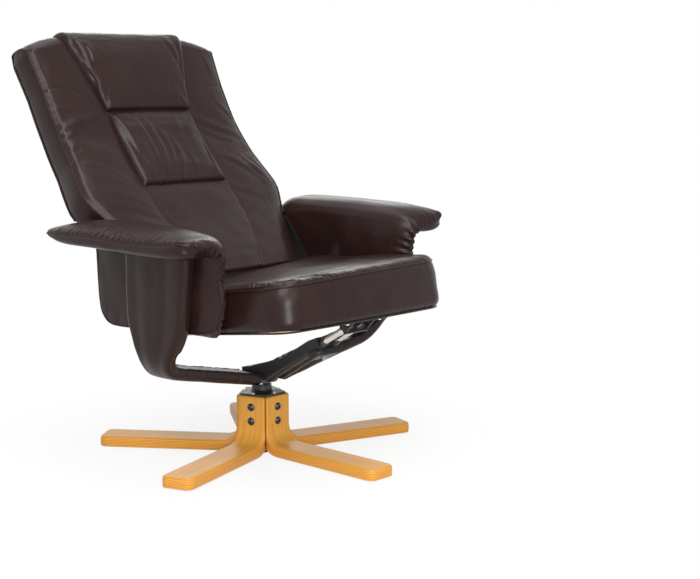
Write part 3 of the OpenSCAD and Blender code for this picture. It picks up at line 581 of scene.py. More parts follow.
def settle(sheet, held, looser, pressure, grow, bend, cap):
    """Fills a sewn sheet with air in a cloth simulation: held points stay where they are.

    The cloth grows by a part of its size where it is looser, and moves by no more than the cap.
    """
    rows, columns = sheet.shape[:2]
    mesh = bpy.data.meshes.new("panel")
    mesh.from_pydata((sheet.reshape(-1, 3) * MM).tolist(), [],
                     sheet_faces(rows, columns).tolist())
    piece = put_in_scene("panel", mesh)
    pins = piece.vertex_groups.new(name="held")
    pins.add([int(i) for i in np.flatnonzero(held)], 1.0, "REPLACE")
    loose = piece.vertex_groups.new(name="loose")
    for i, weight in enumerate(looser.ravel()):
        loose.add([i], float(weight), "REPLACE")
    mod = piece.modifiers.new("cloth", "CLOTH")
    cloth = mod.settings
    for key, value in CLOTH.items():
        setattr(cloth, key, value)
    cloth.bending_stiffness = bend
    cloth.vertex_group_mass = "held"
    cloth.uniform_pressure_force = pressure
    cloth.vertex_group_shrink = "loose"
    cloth.shrink_max = -grow
    cloth.effector_weights.gravity = 0.0
    mod.collision_settings.use_collision = False
    mod.collision_settings.use_self_collision = False
    mod.point_cache.frame_start = 1
    mod.point_cache.frame_end = CLOTH_FRAMES
    for f in range(1, CLOTH_FRAMES + 1):
        scene.frame_set(f)
    shown = piece.evaluated_get(bpy.context.evaluated_depsgraph_get())
    co = np.zeros(rows * columns * 3)
    shown.to_mesh().vertices.foreach_get("co", co)
    shown.to_mesh_clear()
    scene.frame_set(1)
    bpy.data.objects.remove(piece)
    bpy.data.meshes.remove(mesh)
    moved = co.reshape(rows, columns, 3) / MM - sheet
    far = np.linalg.norm(moved, axis=-1, keepdims=True)
    return sheet + moved * np.minimum(far, cap) / np.maximum(far, 1e-6)


make_camera()
make_lights()
make_world()
make_floor()
leather = leather_material()


# ---------------------------------------------------------------- the back

# the side line of the back's front face, as y and z
BACK_LINE = [(66, 400), (140, 464), (214, 532), (320, 646), (377, 721), (425, 806),
             (468, 886), (488, 924)]
BACK_T = 65.0
SKIN_ROLL = BACK_T / 2
SEAT_TOP_Z, LUMBAR_Z, PILLOW_Z, TOP_Z = 400.0, 576.0, 742.0, 905.0
PIPED_FROM_Z = 505.0


class BackFrame:
    """The back's front face: s runs up its side line, h stands off it to the front."""

    def __init__(self):
        self.line = smooth_line(BACK_LINE, 24)
        self.along = lengths_along(self.line)
        self.tangent = np.gradient(self.line, self.along, axis=0)
        self.tangent /= np.linalg.norm(self.tangent, axis=1)[:, None]
        self.end = self.along[-1]

    def s_of(self, z):
        """The s at which the front face reaches a height."""
        z = np.asarray(z, float)
        over = z - self.line[-1, 1]
        return np.where(over > 0, self.end + over / self.tangent[-1, 1],
                        np.interp(z, self.line[:, 1], self.along))

    def z_of(self, s):
        return np.interp(s, self.along, self.line[:, 1])

    def at(self, x, s, h):
        """Places in space; past the end of the side line s runs straight on."""
        x, s, h = np.broadcast_arrays(*[np.asarray(v, float) for v in (x, s, h)])
        over = s - np.clip(s, 0, self.end)
        y, z, ty, tz = (np.interp(s, self.along, v) for v in (
            self.line[:, 0], self.line[:, 1], self.tangent[:, 0], self.tangent[:, 1]))
        return np.stack([x, y + over * ty - tz * h, z + over * tz + ty * h], -1)

    def outwards(self, s):
        """The direction off the front face at s, across which x doesn't change."""
        ty, tz = (np.interp(s, self.along, self.tangent[:, k]) for k in (0, 1))
        return np.stack([np.zeros_like(ty), -tz, ty], -1)


back = BackFrame()


def curve(places, values):
    """A function of a height, or of the distance from the middle, through the given values."""
    return lambda place: np.interp(np.abs(place), places, values)


# half the width of the back's front face at a height
back_half = curve([400, 427, 447, 473, 507, 530, 549, 564, 580, 600, 646, 721, 806, 870, 905, 930],
                  [184, 204, 217, 232, 252, 265, 278, 285, 287, 283, 272, 266, 266, 272, 276, 277])
# half the width between the seams beside the lumbar and head pads at a height
column_half = curve([400, 412, 467, 506, 540, 568, 742, 810, 859, 900, 930],
                    [64, 71, 104, 121, 125, 126, 124, 138, 152, 168, 176])
# half the widths of the two pads at a height
lumbar_half = curve([576, 742, 760], [126, 123.5, 124])
pillow_half = curve([742, 810, 859, 900, 924], [125, 139, 154, 171, 178])
# the heights of the lower and the upper seam across a wing
wing_low = curve([124, 164, 197, 227, 268], [584, 609, 630, 640, 644])
wing_high = curve([124, 132, 159, 182, 213, 268], [738, 743, 766, 786, 800, 804])
# how far past the end of the side line the front face runs before it rolls over
top_past = curve([0, 150, 172, 196, 236, 262, 277], [-46, -42, -28, -28, -37, -39, -45])


def in_s(folds):
    """Folds drawn as x and height, turned into x and s."""
    return [(width, height, [(x, float(back.s_of(z))) for x, z in line])
            for width, height, line in folds]


# steps of the coarse grid: across a wing, across the middle, over the top, and up each level
WING, MIDDLE, ROLL, LEVELS = 15, 22, 14, (16, 16, 14)
FRONT_ROWS = sum(LEVELS) + 1
LEFT_SEAM, RIGHT_SEAM = WING, WING + MIDDLE
LOW_ROW, HIGH_ROW = LEVELS[0], LEVELS[0] + LEVELS[1]


def skin_column(sign, u):
    """One column of the coarse grid; u runs across a wing, or over the middle if sign is 0."""
    def x_at(z):
        inner = column_half(z)
        return sign * (inner + (back_half(z) - inner) * u) if sign else u * inner
    low, high = LUMBAR_Z + 8, PILLOW_Z - 4
    if sign:
        for _ in range(6):
            low, high = float(wing_low(x_at(low))), float(wing_high(x_at(high)))
    x_top = x_at(TOP_Z)
    end = back.end + float(top_past(x_top))
    levels = [*(float(back.s_of(z)) for z in (SEAT_TOP_Z, low, high)), end]
    s = np.concatenate([np.linspace(a, b, n + 1)[:-1] for a, b, n in
                        zip(levels, levels[1:], LEVELS)] + [[end]])
    front = np.stack([[x_at(z) for z in back.z_of(s)], s, np.zeros(FRONT_ROWS)], -1)
    turn = np.linspace(0, 1, ROLL + 1)[1:]
    # towards the corners the roll is smaller and runs higher
    side = float(ease((abs(x_top) - 225) / 52.0))
    reach = SKIN_ROLL * (1 - 0.65 * side)
    over = np.stack([front[-1, 0] - np.sign(sign) * side * 5 * turn,
                     end + reach * np.sin(turn * math.pi) + side * 24 * turn,
                     SKIN_ROLL * (np.cos(turn * math.pi) - 1)], -1)
    return np.concatenate([front, over])


def back_skin():
    """x, s and h of a coarse grid whose rows and columns follow the seams."""
    columns = [(-1, u) for u in np.linspace(1, 0, WING + 1)[:-1]]
    columns += [(0, v) for v in np.linspace(-1, 1, MIDDLE + 1)]
    columns += [(1, u) for u in np.linspace(0, 1, WING + 1)[1:]]
    return np.stack([skin_column(sign, u) for sign, u in columns], 1)


# the stuffing's crown, over this width from the piping; the flat edge lies a little lower
CROWN_H, CROWN_W, CROWN_DOWN = 14.0, 62.0, 2.0
SKIN_LENGTH, SKIN_WIDTH = 690.0, 555.0
# the boxing's points, as parts of the way from the front edge to the rear one
ACROSS = np.array([0.0, 0.015, 0.04, 0.08, 0.14, 0.22, 0.32, 0.43, 0.55, 0.67, 0.78, 0.87,
                   0.93, 0.97, 1.0])

coarse = back_skin()
edge = back_half(back.z_of(coarse[..., 1])) - np.abs(coarse[..., 0])
rise = CROWN_H * pad_edge(np.clip(edge, 0, None), CROWN_W) - CROWN_DOWN
rise[FRONT_ROWS:] *= np.linspace(0.85, 0, ROLL)[:, None]
coarse[..., 2] += rise
sheet = back.at(coarse[..., 0], coarse[..., 1], coarse[..., 2])
held = np.zeros(sheet.shape[:2], bool)
held[[0, -1]] = held[:, [0, -1]] = True
held[:FRONT_ROWS, [LEFT_SEAM, RIGHT_SEAM]] = True
held[LOW_ROW:, LEFT_SEAM:RIGHT_SEAM + 1] = True
held[FRONT_ROWS + 1:] = True
looser = np.zeros(sheet.shape[:2])
for row in (LOW_ROW, HIGH_ROW):
    looser[row - 1:row + 2] = 0.3
looser[:, [1, 2, -2, -3, LEFT_SEAM - 1, LEFT_SEAM - 2, RIGHT_SEAM + 1, RIGHT_SEAM + 2]] = 0.8
sheet = settle(sheet, held, looser, pressure=0.9, grow=0.012, bend=3.0, cap=3.5)

last_row, last_column = sheet.shape[0] - 1, sheet.shape[1] - 1
row_at = last_row * stations(SKIN_LENGTH, 1.9, 5.0, (
    0.0, LOW_ROW / last_row, HIGH_ROW / last_row, (FRONT_ROWS + 4) / last_row))
column_at = last_column * stations(SKIN_WIDTH, 1.7, 4.6, (
    0.0, LEFT_SEAM / last_column, RIGHT_SEAM / last_column, 1.0))
skin = finer(sheet, row_at, column_at)
flat = finer(coarse, row_at, column_at)
x, s = flat[..., 0], flat[..., 1]
z = back.z_of(s)
on_front = ease((FRONT_ROWS + 3 - row_at) / 6.0)[:, None]
from_column = np.abs(x) - column_half(z)
on_wing = ease((from_column + 2) / 6.0)
from_side = to_either_side(skin)
below_pads = ease((LUMBAR_Z - z) / 12.0)
bump = groove(from_column, 1.2, 1.6, 0.9, 7.0) * on_front * np.maximum(below_pads, 0.5)
seam_x = np.linspace(118, 276, 14)
for seam_of in (wing_low, wing_high):
    line = list(zip(seam_x, back.s_of(seam_of(seam_x))))
    away, place = near_line(np.abs(x), s, line)
    bump += groove(away, 1.0, 1.3, 0.5, 6.0) * on_wing * on_front
    bump += gathers(180 * place, np.abs(away), 16.0, 0.5, 13.0, 31) * on_wing * on_front
bump += gathers(s, from_side, 19.0, 0.8, 24.0, 41, 0.8) * on_front
# folds of the two wings: width, height and points as x and height over the floor
WING_FOLDS = in_s([
    (11, 3.0, [(-264, 712), (-234, 719), (-195, 729), (-165, 738)]),
    (8, 1.8, [(-266, 694), (-233, 704), (-194, 713)]),
    (6, 1.2, [(-262, 668), (-238, 676)]),
    (7, 0.9, [(-262, 762), (-240, 758), (-215, 752)]),
    (10, 0.6, [(-240, 878), (-236, 850), (-240, 825)]),
    (12, 3.2, [(122, 729), (158, 715), (203, 697), (258, 680)]),
    (11, 2.4, [(126, 712), (164, 690), (229, 668)]),
    (8, 1.6, [(212, 772), (244, 744), (264, 716)]),
    (10, 1.9, [(150, 640), (190, 622), (232, 603), (268, 590)]),
    (8, 2.4, [(212, 634), (240, 604), (270, 568)]),
    (7, 2.0, [(188, 618), (228, 590), (262, 556)]),
    (9, 1.5, [(116, 571), (162, 557), (212, 538)]),
    (5, 1.5, [(238, 633), (256, 612), (270, 594)]),
    (10, 1.0, [(232, 884), (240, 850), (238, 820)])])
bump += creases(x, s, WING_FOLDS, 0.6)
bump += 0.3 * ripples(x, s, 75.0, 3) * on_front * (1 - fade(from_side, 12.0))
bump = sewn_down(bump, from_side, reach=3.0)
bump[-6:] *= np.linspace(1, 0, 6)[:, None]
toward = back.outwards(s)
skin = skin + normals(skin, toward) * bump[..., None]

# the boxing down each side, and the round of it that closes the top corner
start_arc = int(np.searchsorted(row_at, FRONT_ROWS - 1))
arc_top = int(np.argmin(np.abs(row_at - (FRONT_ROWS - 1 + ROLL / 2))))
side_sheets, side_lines = [], []
for column, sign in ((0, -1), (-1, 1)):
    edge_line, edge_flat = skin[:, column], flat[:, column]
    near = edge_line[:arc_top + 1]
    straight = back.at(edge_flat[:start_arc, 0],
                       np.minimum(edge_flat[:start_arc, 1], edge_flat[-1, 1]), -BACK_T)
    over_top = edge_line[arc_top:][::-1]
    arc_rows = np.linspace(0, len(over_top) - 1, len(near) - start_arc).round().astype(int)
    far = np.concatenate([straight, over_top[arc_rows]])
    far[-1] = near[-1]
    swell = 4.5 * (1 - np.abs(2 * ACROSS - 1) ** 2.6)[None, :]
    swell = swell * ease(np.linalg.norm(near - far, axis=1) / 40.0)[:, None]
    run = lengths_along(near)[:, None]
    swell = swell + (0.7 * uneven(run, 60.0, 9 + column) * np.sin(np.pi * ACROSS))
    swell = swell + gathers(run, BACK_T * ACROSS[None, :], 15.0, 0.7, 12.0, 17) * (ACROSS > 0.01)
    strip = blended(near, far, ACROSS).transpose(1, 0, 2)
    strip[..., 0] += sign * swell
    side_sheets.append((strip, np.array([sign, 0.0, 0.0])))
    side_lines.append((far, edge_line))

# the rear panel
x, s = flat[:start_arc, :, 0], flat[:start_arc, :, 1]
rear = back.at(x, np.minimum(s, flat[-1, :, 1][None, :]), -BACK_T)
from_edge = to_either_side(rear)
run = lengths_along(rear, 0)
inner = np.minimum(from_edge, np.minimum(run, run[-1:] - run))
swell = 4.0 * filled(inner, 18.0) + gathers(run, from_edge, 21.0, 0.7, 22.0, 57)
swell += 0.5 * ripples(x, s, 110.0, 12) * (1 - fade(inner, 20.0))
REAR_FOLDS = in_s([(16.0, 0.8, [(-200, z), (-60, z + 8 + 200 * tilt), (90, z - 6), (210, z + 9)])
                   for z, tilt in ((470.0, 0.03), (640.0, -0.02), (800.0, 0.02))])
swell += creases(x, s, REAR_FOLDS, 0.4)
rear_way = -back.outwards(s)
rear = rear + rear_way * sewn_down(swell, inner, reach=2.0)[..., None]
rear[-1] = skin[-1]
foot = blended(skin[0], rear[0], (0.0, 0.12, 0.5, 0.88, 1.0))
foot[1:-1] -= np.array([0, 2.0, 3.0])

back_piece = add_sheets("back_leather", [(skin, toward), (rear, rear_way),
                                         (foot, np.array([0, -0.3, -1.0]))] + side_sheets, "back")
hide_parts("back_cushion", "rear_cover", "back_board")
for name, (far, edge_line), sign in zip(("left", "right"), side_lines, (-1, 1)):
    whole = np.concatenate([edge_line[::2], far[: start_arc - 1: 2][::-1]])
    whole[:, 0] += sign * 1.2
    whole = whole[whole[:, 2] > PIPED_FROM_Z]
    tube("back_piping_" + name, resampled(whole, 420), 2.3, "back")


# ---------------------------------------------------------------- the pads on the back

PAD_ROLL = 15.0


def back_pad(name, half_at, path, base, low_roll, size, detail, held_from, replaced, **air):
    """A stuffed pad: path and base are rows of (s, h) for its skin and its underside.

    Its low end rounds off over the low roll. The coarse grid has the given rows and columns,
    and its rows from held_from on stay where they are in the cloth simulation.
    """
    rows, columns = size
    row_u = np.linspace(0, len(path) - 1, rows)
    p, b = sampled(path, row_u), sampled(base, row_u)
    length = np.interp(row_u, np.arange(len(path)), lengths_along(path))
    half = half_at(back.z_of(p[:, 0]))
    column_u = np.linspace(-1, 1, columns)
    column_u = np.sign(column_u) * (1 - (1 - np.abs(column_u)) ** 1.35)
    across = half[:, None] * column_u[None, :]
    edge = half[:, None] - np.abs(across)
    up = pad_edge(edge, PAD_ROLL) * pad_edge(length, low_roll)[:, None]
    flat = np.stack([across, b[:, None, 0] + (p - b)[:, None, 0] * up,
                     b[:, None, 1] + (p - b)[:, None, 1] * up], -1)
    sheet = back.at(flat[..., 0], flat[..., 1], flat[..., 2])
    held = np.zeros((rows, columns), bool)
    held[[0, -1]] = held[:, [0, -1]] = True
    held[held_from:] = True
    sheet = settle(sheet, held, np.ones((rows, columns)), **air)
    r_at = stations(float(lengths_along(path)[-1]), 1.7, 3.2) * (rows - 1)
    c_at = stations(2 * float(half.mean()), 1.6, 3.2) * (columns - 1)
    sheet, flat = finer(sheet, r_at, c_at), finer(flat, r_at, c_at)
    low, side = lengths_along(sheet, 0), to_either_side(sheet)
    high = low[-1:] - low
    bump = sewn_down(detail(flat[..., 0], flat[..., 1], low, high, side), side, low, high,
                     reach=2.5)
    toward = back.outwards(flat[..., 1])
    piece = add_sheets(name, [(sheet + normals(sheet, toward) * bump[..., None], toward)], "back")
    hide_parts(replaced)


LUMBAR_FOLDS = in_s([
    (9, 2.0, [(-108, 733), (-97, 689), (-94, 645)]),
    (9, 2.4, [(-70, 738), (-57, 687), (-53, 651), (-55, 622)]),
    (10, 2.9, [(-43, 738), (-31, 678), (-31, 638), (-51, 595)]),
    (9, 2.2, [(-14, 700), (-4, 655), (-17, 618)]),
    (8, 2.4, [(12, 676), (16, 636), (2, 603), (-16, 580)]),
    (5, 2.0, [(-61, 603), (-73, 579)]),
    (7, 1.6, [(112, 660), (108, 620), (100, 588)]),
    (8, 0.9, [(60, 738), (54, 706), (56, 676)]),
    (6, 1.1, [(-90, 640), (-84, 612), (-92, 588)]),
    (6, 1.0, [(40, 640), (44, 615), (36, 590)])])


def lumbar_detail(x, s, low, high, side):
    """The lumbar pad's relief, from the distances to its low and high ends and its sides."""
    bump = gathers(x, low, 15.0, 1.2, 13.0, 71, 0.3) + gathers(x, high, 13.0, 1.0, 26.0, 72, -0.3)
    bump += gathers(s, side, 17.0, 0.7, 10.0, 73, 0.3)
    return bump + creases(x, s, LUMBAR_FOLDS, 0.55) + 0.3 * ripples(x, s, 45.0, 75)


s_low, s_mid = float(back.s_of(LUMBAR_Z)), float(back.s_of(PILLOW_Z))
path_s = np.linspace(s_low, s_mid + 16, 24)
arch = np.sin(np.pi * np.linspace(0, 1, 24))
lumbar_path = np.column_stack([path_s, 22 - 10 * ease((path_s - s_mid + 22) / 30) + 3 * arch])
lumbar_base = np.column_stack([path_s, np.full(24, 5.0)])
back_pad("lumbar_pad_leather", lumbar_half, lumbar_path, lumbar_base, 17.0, (24, 30),
         lumbar_detail, 23, "lumbar_pad", pressure=1.2, grow=0.03, bend=1.2, cap=6.0)

PILLOW_FOLDS = in_s([
    (6, 2.8, [(-150, 912), (-138, 885), (-133, 855), (-134, 836)]),
    (7, 2.4, [(-133, 905), (-122, 885), (-119, 862), (-126, 840)]),
    (6, 2.2, [(-134, 836), (-126, 814), (-127, 788)]),
    (5, 1.8, [(-146, 868), (-138, 842), (-132, 820)]),
    (8, 2.2, [(148, 922), (154, 885), (145, 832)]),
    (9, 1.8, [(118, 915), (134, 872), (139, 840)]),
    (7, 1.6, [(150, 868), (140, 838), (134, 806)]),
    (6, 1.0, [(-104, 790), (-112, 765), (-108, 750)]),
    (6, 0.9, [(100, 775), (106, 760), (100, 748)])])


def pillow_detail(x, s, low, high, side):
    """The pillow's relief; its high end is out of sight behind the back."""
    bump = gathers(s, side, 16.0, 0.9, 14.0, 81, -0.7) + gathers(x, low, 17.0, 0.8, 12.0, 82, 0.2)
    return bump + creases(x, s, PILLOW_FOLDS, 0.9) + 0.3 * ripples(x, s, 70.0, 85)


def over_the_top(flat_end, flat_h, turn_s, turn_h, middle_h, tail):
    """Rows of (s, h) up the front to flat_end, round over the back's top and down behind it.

    The round is a half ellipse about middle_h; the tail's s is measured from the top.
    """
    turn = np.linspace(0, math.pi, 16)
    flat_s = np.linspace(s_mid, flat_end, 24)[:-1]
    return np.concatenate([
        np.column_stack([flat_s, flat_h]),
        np.column_stack([flat_end + turn_s * np.sin(turn), middle_h + turn_h * np.cos(turn)]),
        [[back.end + s, h] for s, h in tail]])


arch = np.sin(np.pi * np.linspace(0, 1, 23))
pillow_path = over_the_top(back.end - 27, np.full(23, 24.0) + 2.5 * arch, 42, 45, -21,
                           [(-42, -68), (-56, -68.5)])
pillow_base = over_the_top(back.end - 46, np.full(23, 6.0), 37.0, 35, -29,
                           [(-50, -65), (-58, -65.5)])
back_pad("head_pillow_leather", pillow_half, pillow_path, pillow_base, 16.0, (38, 32),
         pillow_detail, 30, "head_pillow", pressure=1.2, grow=0.02, bend=1.5, cap=6.0)

# raised stitching lines below the lumbar pad
for name, sign in (("left", -1), ("right", 1)):
    z_line = np.linspace(404, 572, 120)
    thread = back.at(sign * column_half(z_line), back.s_of(z_line), 9.3)
    tube("column_seam_" + name, thread, 1.0, "back", sides=6)


# ---------------------------------------------------------------- the seat

SEAT_AT, SEAT_TILT = np.array([0.0, -335.0, 337.0]), math.radians(7.3)
SEAT_HALF, SEAT_DEPTH, SEAT_CORNER, SEAT_LOW_CORNER = 243.0, 368.0, 62.0, 48.0
SEAT_SEAM_W, SEAT_LOW_W = 96.0, -2.0
SEAT_H = SEAT_SEAM_W - SEAT_LOW_W
# the middle panel's half width and front edge
INNER_X, INNER_V = 66.0, 190.0
REAR_FACE_H = 88.0


def seat_way(x, v, w):
    """The direction in space of a direction in seat places."""
    x, v, w = np.broadcast_arrays(*[np.asarray(a, float) for a in (x, v, w)])
    c, sn = math.cos(SEAT_TILT), math.sin(SEAT_TILT)
    return np.stack([x, v * c + w * sn, -v * sn + w * c], -1)


def on_seat(x, v, w):
    """Seat places: x across, v back from the front edge, w up off the board's underside."""
    return seat_way(x, v, w) + SEAT_AT


def seam_w(x, v):
    """Height of the seam over the board: the near side is sat down a little."""
    across = np.clip(np.asarray(x) / SEAT_HALF, -1, 1)
    return SEAT_SEAM_W + 6.0 * across + 14.0 * across * np.clip(v / SEAT_DEPTH, 0, 1)


def seat_outline(r):
    """The U of the seat in plan, with a bowed front and corners of radius r, evenly spaced."""
    half = SEAT_HALF
    left = [(-half - 2.5 * math.sin(math.pi * t), SEAT_DEPTH + (r - SEAT_DEPTH) * t)
            for t in np.linspace(0, 1, 16)[:-1]]
    corner = [(-half + r - r * math.cos(a), r - r * math.sin(a))
              for a in np.linspace(0, math.pi / 2, 13)]
    front = [(x, -7.0 * math.cos(x / (half - r) * math.pi / 2) ** 0.8)
             for x in np.linspace(-(half - r), 0, 12)[1:]]
    path = left + corner + front
    path += [(-x, v) for x, v in path[:-1][::-1]]
    return resampled(path, 481)


outline, low_outline = seat_outline(SEAT_CORNER), seat_outline(SEAT_LOW_CORNER)
outline_run = lengths_along(outline)
whole_run = outline_run[-1]
corner_run = SEAT_DEPTH - SEAT_CORNER + SEAT_CORNER * math.pi / 4


def seat_target(place, run):
    """Where the ring of the seat's top ends, on the edge of its middle panel."""
    side = math.copysign(INNER_X, place[0])
    run = min(run, whole_run - run)
    if run < corner_run:
        return side, SEAT_DEPTH + (INNER_V - SEAT_DEPTH) * (run / corner_run)
    return side * (1 - (run - corner_run) / (whole_run / 2 - corner_run)), INNER_V


def seat_height(x, v, d):
    """Height of the seat's top over its seam, at distance d from it."""
    dome = 11.5 * pad_edge(d, 34.0) + 3.0 * fade(np.hypot(x / 1.5, v - 150), 150.0)
    dip = -5.0 * fade(np.hypot((np.abs(x) - 110) / 1.2, v - 250), 90.0)
    return dome + dip


targets = np.array([seat_target(*at) for at in zip(outline, outline_run)])
spans = np.linalg.norm(targets - outline, axis=1)
part = stations(float(spans.mean()), 1.6, 5.0, (0.0,))
plan = blended(outline, targets, part)
inward = spans[None] * part[:, None]
x, v = plan[..., 0], plan[..., 1]
along = np.broadcast_to(outline_run, x.shape)
top = on_seat(x, v, seam_w(x, v) + seat_height(x, v, inward))
bump = 2.2 * filled(inward, 3.0) - 0.5 * fade(inward, 9.0)
past_corner = along - corner_run
beside = ease((past_corner + 130) / 60) * ease((-24 - past_corner) / 12)
front_part = ease((past_corner - 22) / 16) * ease((whole_run - 280 - along) / 60)
bump += gathers(along, inward, 11.5, 3.2, 13.0, 100) * beside
bump += gathers(along, inward, 14.0, 2.6, 18.0, 101, 0.8) * front_part
bump += gathers(along, inward, 10.0, 0.8, 8.0, 106, 0.3) * front_part
bump += gathers(along, inward, 46.0, 0.9, 60.0, 102, 0.9) * front_part
bump += gathers(along, inward, 17.0, 0.8, 18.0, 105, 0.35)
# the leather stands open in a pucker over the near front corner
lid = np.hypot((past_corner - 4.0) / 30.0, (inward - 7.5) / 6.0)
bump += 3.4 * np.exp(-((lid - 1.0) / 0.26) ** 2) - 5.0 * fade(lid, 0.7)
bump += 0.4 * ripples(x, v, 52.0, 103) * fade(inward - 20, 70.0)
bump += 0.6 * ripples(x, v, 130.0, 104)
SEAT_FOLDS = [
    (6, 2.4, [(-176, 34), (-150, 24), (-124, 12), (-100, 6)]),
    (7, 1.9, [(-206, 62), (-180, 44), (-150, 34), (-118, 36)]),
    (8, 1.0, [(-120, 34), (-60, 26), (0, 32), (60, 24)]),
    (8, 1.4, [(-228, 110), (-214, 80), (-200, 62)]),
    (9, 1.4, [(60, 40), (120, 30), (170, 34), (205, 52)]),
    (8, 1.3, [(222, 150), (210, 110), (206, 80)]),
    (13, 1.0, [(-150, 70), (-60, 62), (40, 70), (130, 60)]),
    (12, 1.2, [(-226, 230), (-190, 210), (-150, 215)]),
    (12, 1.2, [(226, 250), (190, 226), (140, 232)])]
bump = sewn_down(bump + creases(x, v, SEAT_FOLDS, 0.8), inward)
up = seat_way(0, 0, 1)
top = top + normals(top, up) * bump[..., None]

# the middle panel takes up the ring's inner edge
last = top[-1]
sides = int(np.searchsorted(outline_run, corner_run))
across = np.linspace(0, 1, len(last) - 2 * sides)
middle = blended(last[:sides + 1], last[::-1][:sides + 1], across).transpose(1, 0, 2)
rise = seat_height(INNER_X * (2 * across - 1)[None, :], plan[-1, :sides + 1, 1][:, None], 120.0)
rise = rise - rise[:, :1] * (1 - across) - rise[:, -1:] * across
middle = middle + rise[..., None] * up
missed = last[sides:len(last) - sides] - middle[-1]
middle = middle + missed * ease(np.linspace(-2, 1, sides + 1))[:, None, None]

# the boxing
down = stations(SEAT_H, 1.6, 6.0, (0.0, 1.0), 16.0)[:, None]
run = np.broadcast_to(outline_run, (len(down), len(outline)))
ox, ov = (outline[:, k] + (low_outline - outline)[:, k] * down for k in (0, 1))
tangent = np.gradient(outline, axis=0)
tangent /= np.linalg.norm(tangent, axis=1)[:, None]
out_x, out_v = -tangent[:, 1], tangent[:, 0]
if np.sum(out_x * outline[:, 0]) < 0:
    out_x, out_v = -out_x, -out_v
w = seam_w(ox, ov) * (1 - down) + SEAT_LOW_W * down
fall = SEAT_H * down
rest = SEAT_H - fall
swell = 6.0 * (1 - np.abs(2 * down - 1) ** 3.0) * np.ones_like(run)
swell -= 1.6 * np.exp(-((down - 0.55) / 0.2) ** 2)
swell -= 8.0 * fade(rest, 9.0)
swell += gathers(run, fall, 21.0, 0.7, 16.0, 111) + gathers(run, rest, 24.0, 0.9, 18.0, 112)
far_corner = fade(np.abs(run - (whole_run - 345.0)), 40.0)
swell += gathers(run, rest, 13.0, 1.8, 26.0, 113) * far_corner
swell += 0.5 * ripples(run, w, 80.0, 114) * np.sin(np.pi * down)
swell = sewn_down(swell, fall)
boxing = on_seat(ox + out_x * swell, ov + out_v * swell, w)
boxing[0] = top[0]
tucked = on_seat(ox[-1] - out_x * 20, ov[-1] - out_v * 20, SEAT_LOW_W + 0.6)
under = blended(boxing[-1], tucked, (0.0, 0.3, 1.0))
out_way = seat_way(out_x, out_v, 0)
# the rear face, below the back
rear_top = np.concatenate([top[:, 0], middle[0, 1:-1], top[::-1, -1]])
rear = blended(rear_top, rear_top - up * REAR_FACE_H, np.linspace(0, 1, 5))
seat_piece = add_sheets("seat_leather", [
    (top, up), (middle, up), (boxing, out_way), (under, -up), (rear, seat_way(0, 1, 0))], "seat")
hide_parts("seat_cushion")
seam = top[0] + 0.8 * out_way + 0.5 * up
tube("seat_piping", resampled(seam, 500), 2.0, "seat")
low_seam = on_seat(ox[-1] + out_x * 0.5, ov[-1] + out_v * 0.5, SEAT_LOW_W + 3.0) - 4.0 * out_way
tube("seat_hem", resampled(low_seam, 400), 1.5, "seat", sides=6)


# ---------------------------------------------------------------- the arms

# guide lines of one arm, front to rear, as x outwards, y and z
COVER = [
    [(286, -176, 331), (273, -162, 316), (262, -134, 309), (259, -60, 307), (259, 40, 304),
     (259, 120, 302), (259, 160, 309), (259, 182, 330), (259, 189, 356)],
    [(290, -199, 380), (277, -188, 381), (263, -160, 383), (254, -118, 384), (252, 0, 384),
     (253, 120, 384), (256, 192, 386)],
    [(290, -192, 418), (276, -182, 420), (262, -154, 424), (253, -112, 425), (251, 0, 425),
     (252, 120, 425), (256, 198, 426)],
    [(290, -191, 440), (276, -182, 443), (263, -156, 450), (254, -110, 456), (252, 0, 458),
     (253, 120, 459), (256, 208, 456)],
    [(290, -195, 462), (278, -186, 468), (266, -160, 479), (258, -110, 485), (256, 0, 487),
     (257, 120, 488), (262, 200, 485), (265, 228, 480)],
    [(291, -196, 474), (281, -189, 486), (272, -162, 504), (267, -110, 512), (266, 0, 514),
     (267, 120, 515), (271, 195, 510), (277, 243, 494)],
    [(300, -195, 481), (294, -194, 501), (289, -166, 520), (286, -110, 531), (286, 0, 535),
     (287, 120, 535), (291, 200, 527), (298, 250, 503)],
    [(325, -195, 491), (322, -197, 512), (320, -166, 529), (320, -110, 538), (320, 0, 541),
     (321, 120, 541), (324, 202, 531), (328, 260, 507)],
    [(352, -202, 500), (350, -199, 517), (350, -166, 530), (350, -110, 536), (350, 0, 538),
     (350, 120, 538), (352, 205, 530), (354, 263, 507)],
    [(374, -201, 510), (374, -197, 519), (375, -166, 525), (376, -110, 525), (376, 0, 525),
     (376, 120, 526), (377, 205, 519), (374, 261, 505)],
    [(388, -190, 516), (389, -179, 516), (391, -150, 511), (392, -110, 506), (392, 0, 505),
     (392, 120, 507), (391, 205, 505), (386, 253, 502)],
]
BAND = [
    COVER[-1],
    [(384, -197, 513), (391, -184, 507), (394, -150, 501), (395, -110, 497), (395, 0, 496),
     (395, 120, 498), (393, 205, 498), (386, 251, 499)],
    [(372, -201, 509), (386, -192, 496), (392, -155, 490), (393, -110, 488), (393, 0, 488),
     (393, 120, 489), (391, 200, 490), (383, 243, 495)],
    [(350, -201, 500), (368, -194, 487), (381, -165, 482), (384, -110, 481), (384, 0, 483),
     (384, 120, 485), (381, 195, 485), (374, 236, 491)],
    [(322, -194, 489), (340, -190, 482), (358, -165, 481), (362, -110, 483), (362, 0, 484),
     (362, 120, 486), (360, 190, 487), (350, 228, 491)],
    [(291, -196, 474), (296, -180, 480), (301, -150, 484), (302, -110, 485), (302, 0, 486),
     (302, 120, 486), (302, 170, 486), (300, 196, 487)],
]
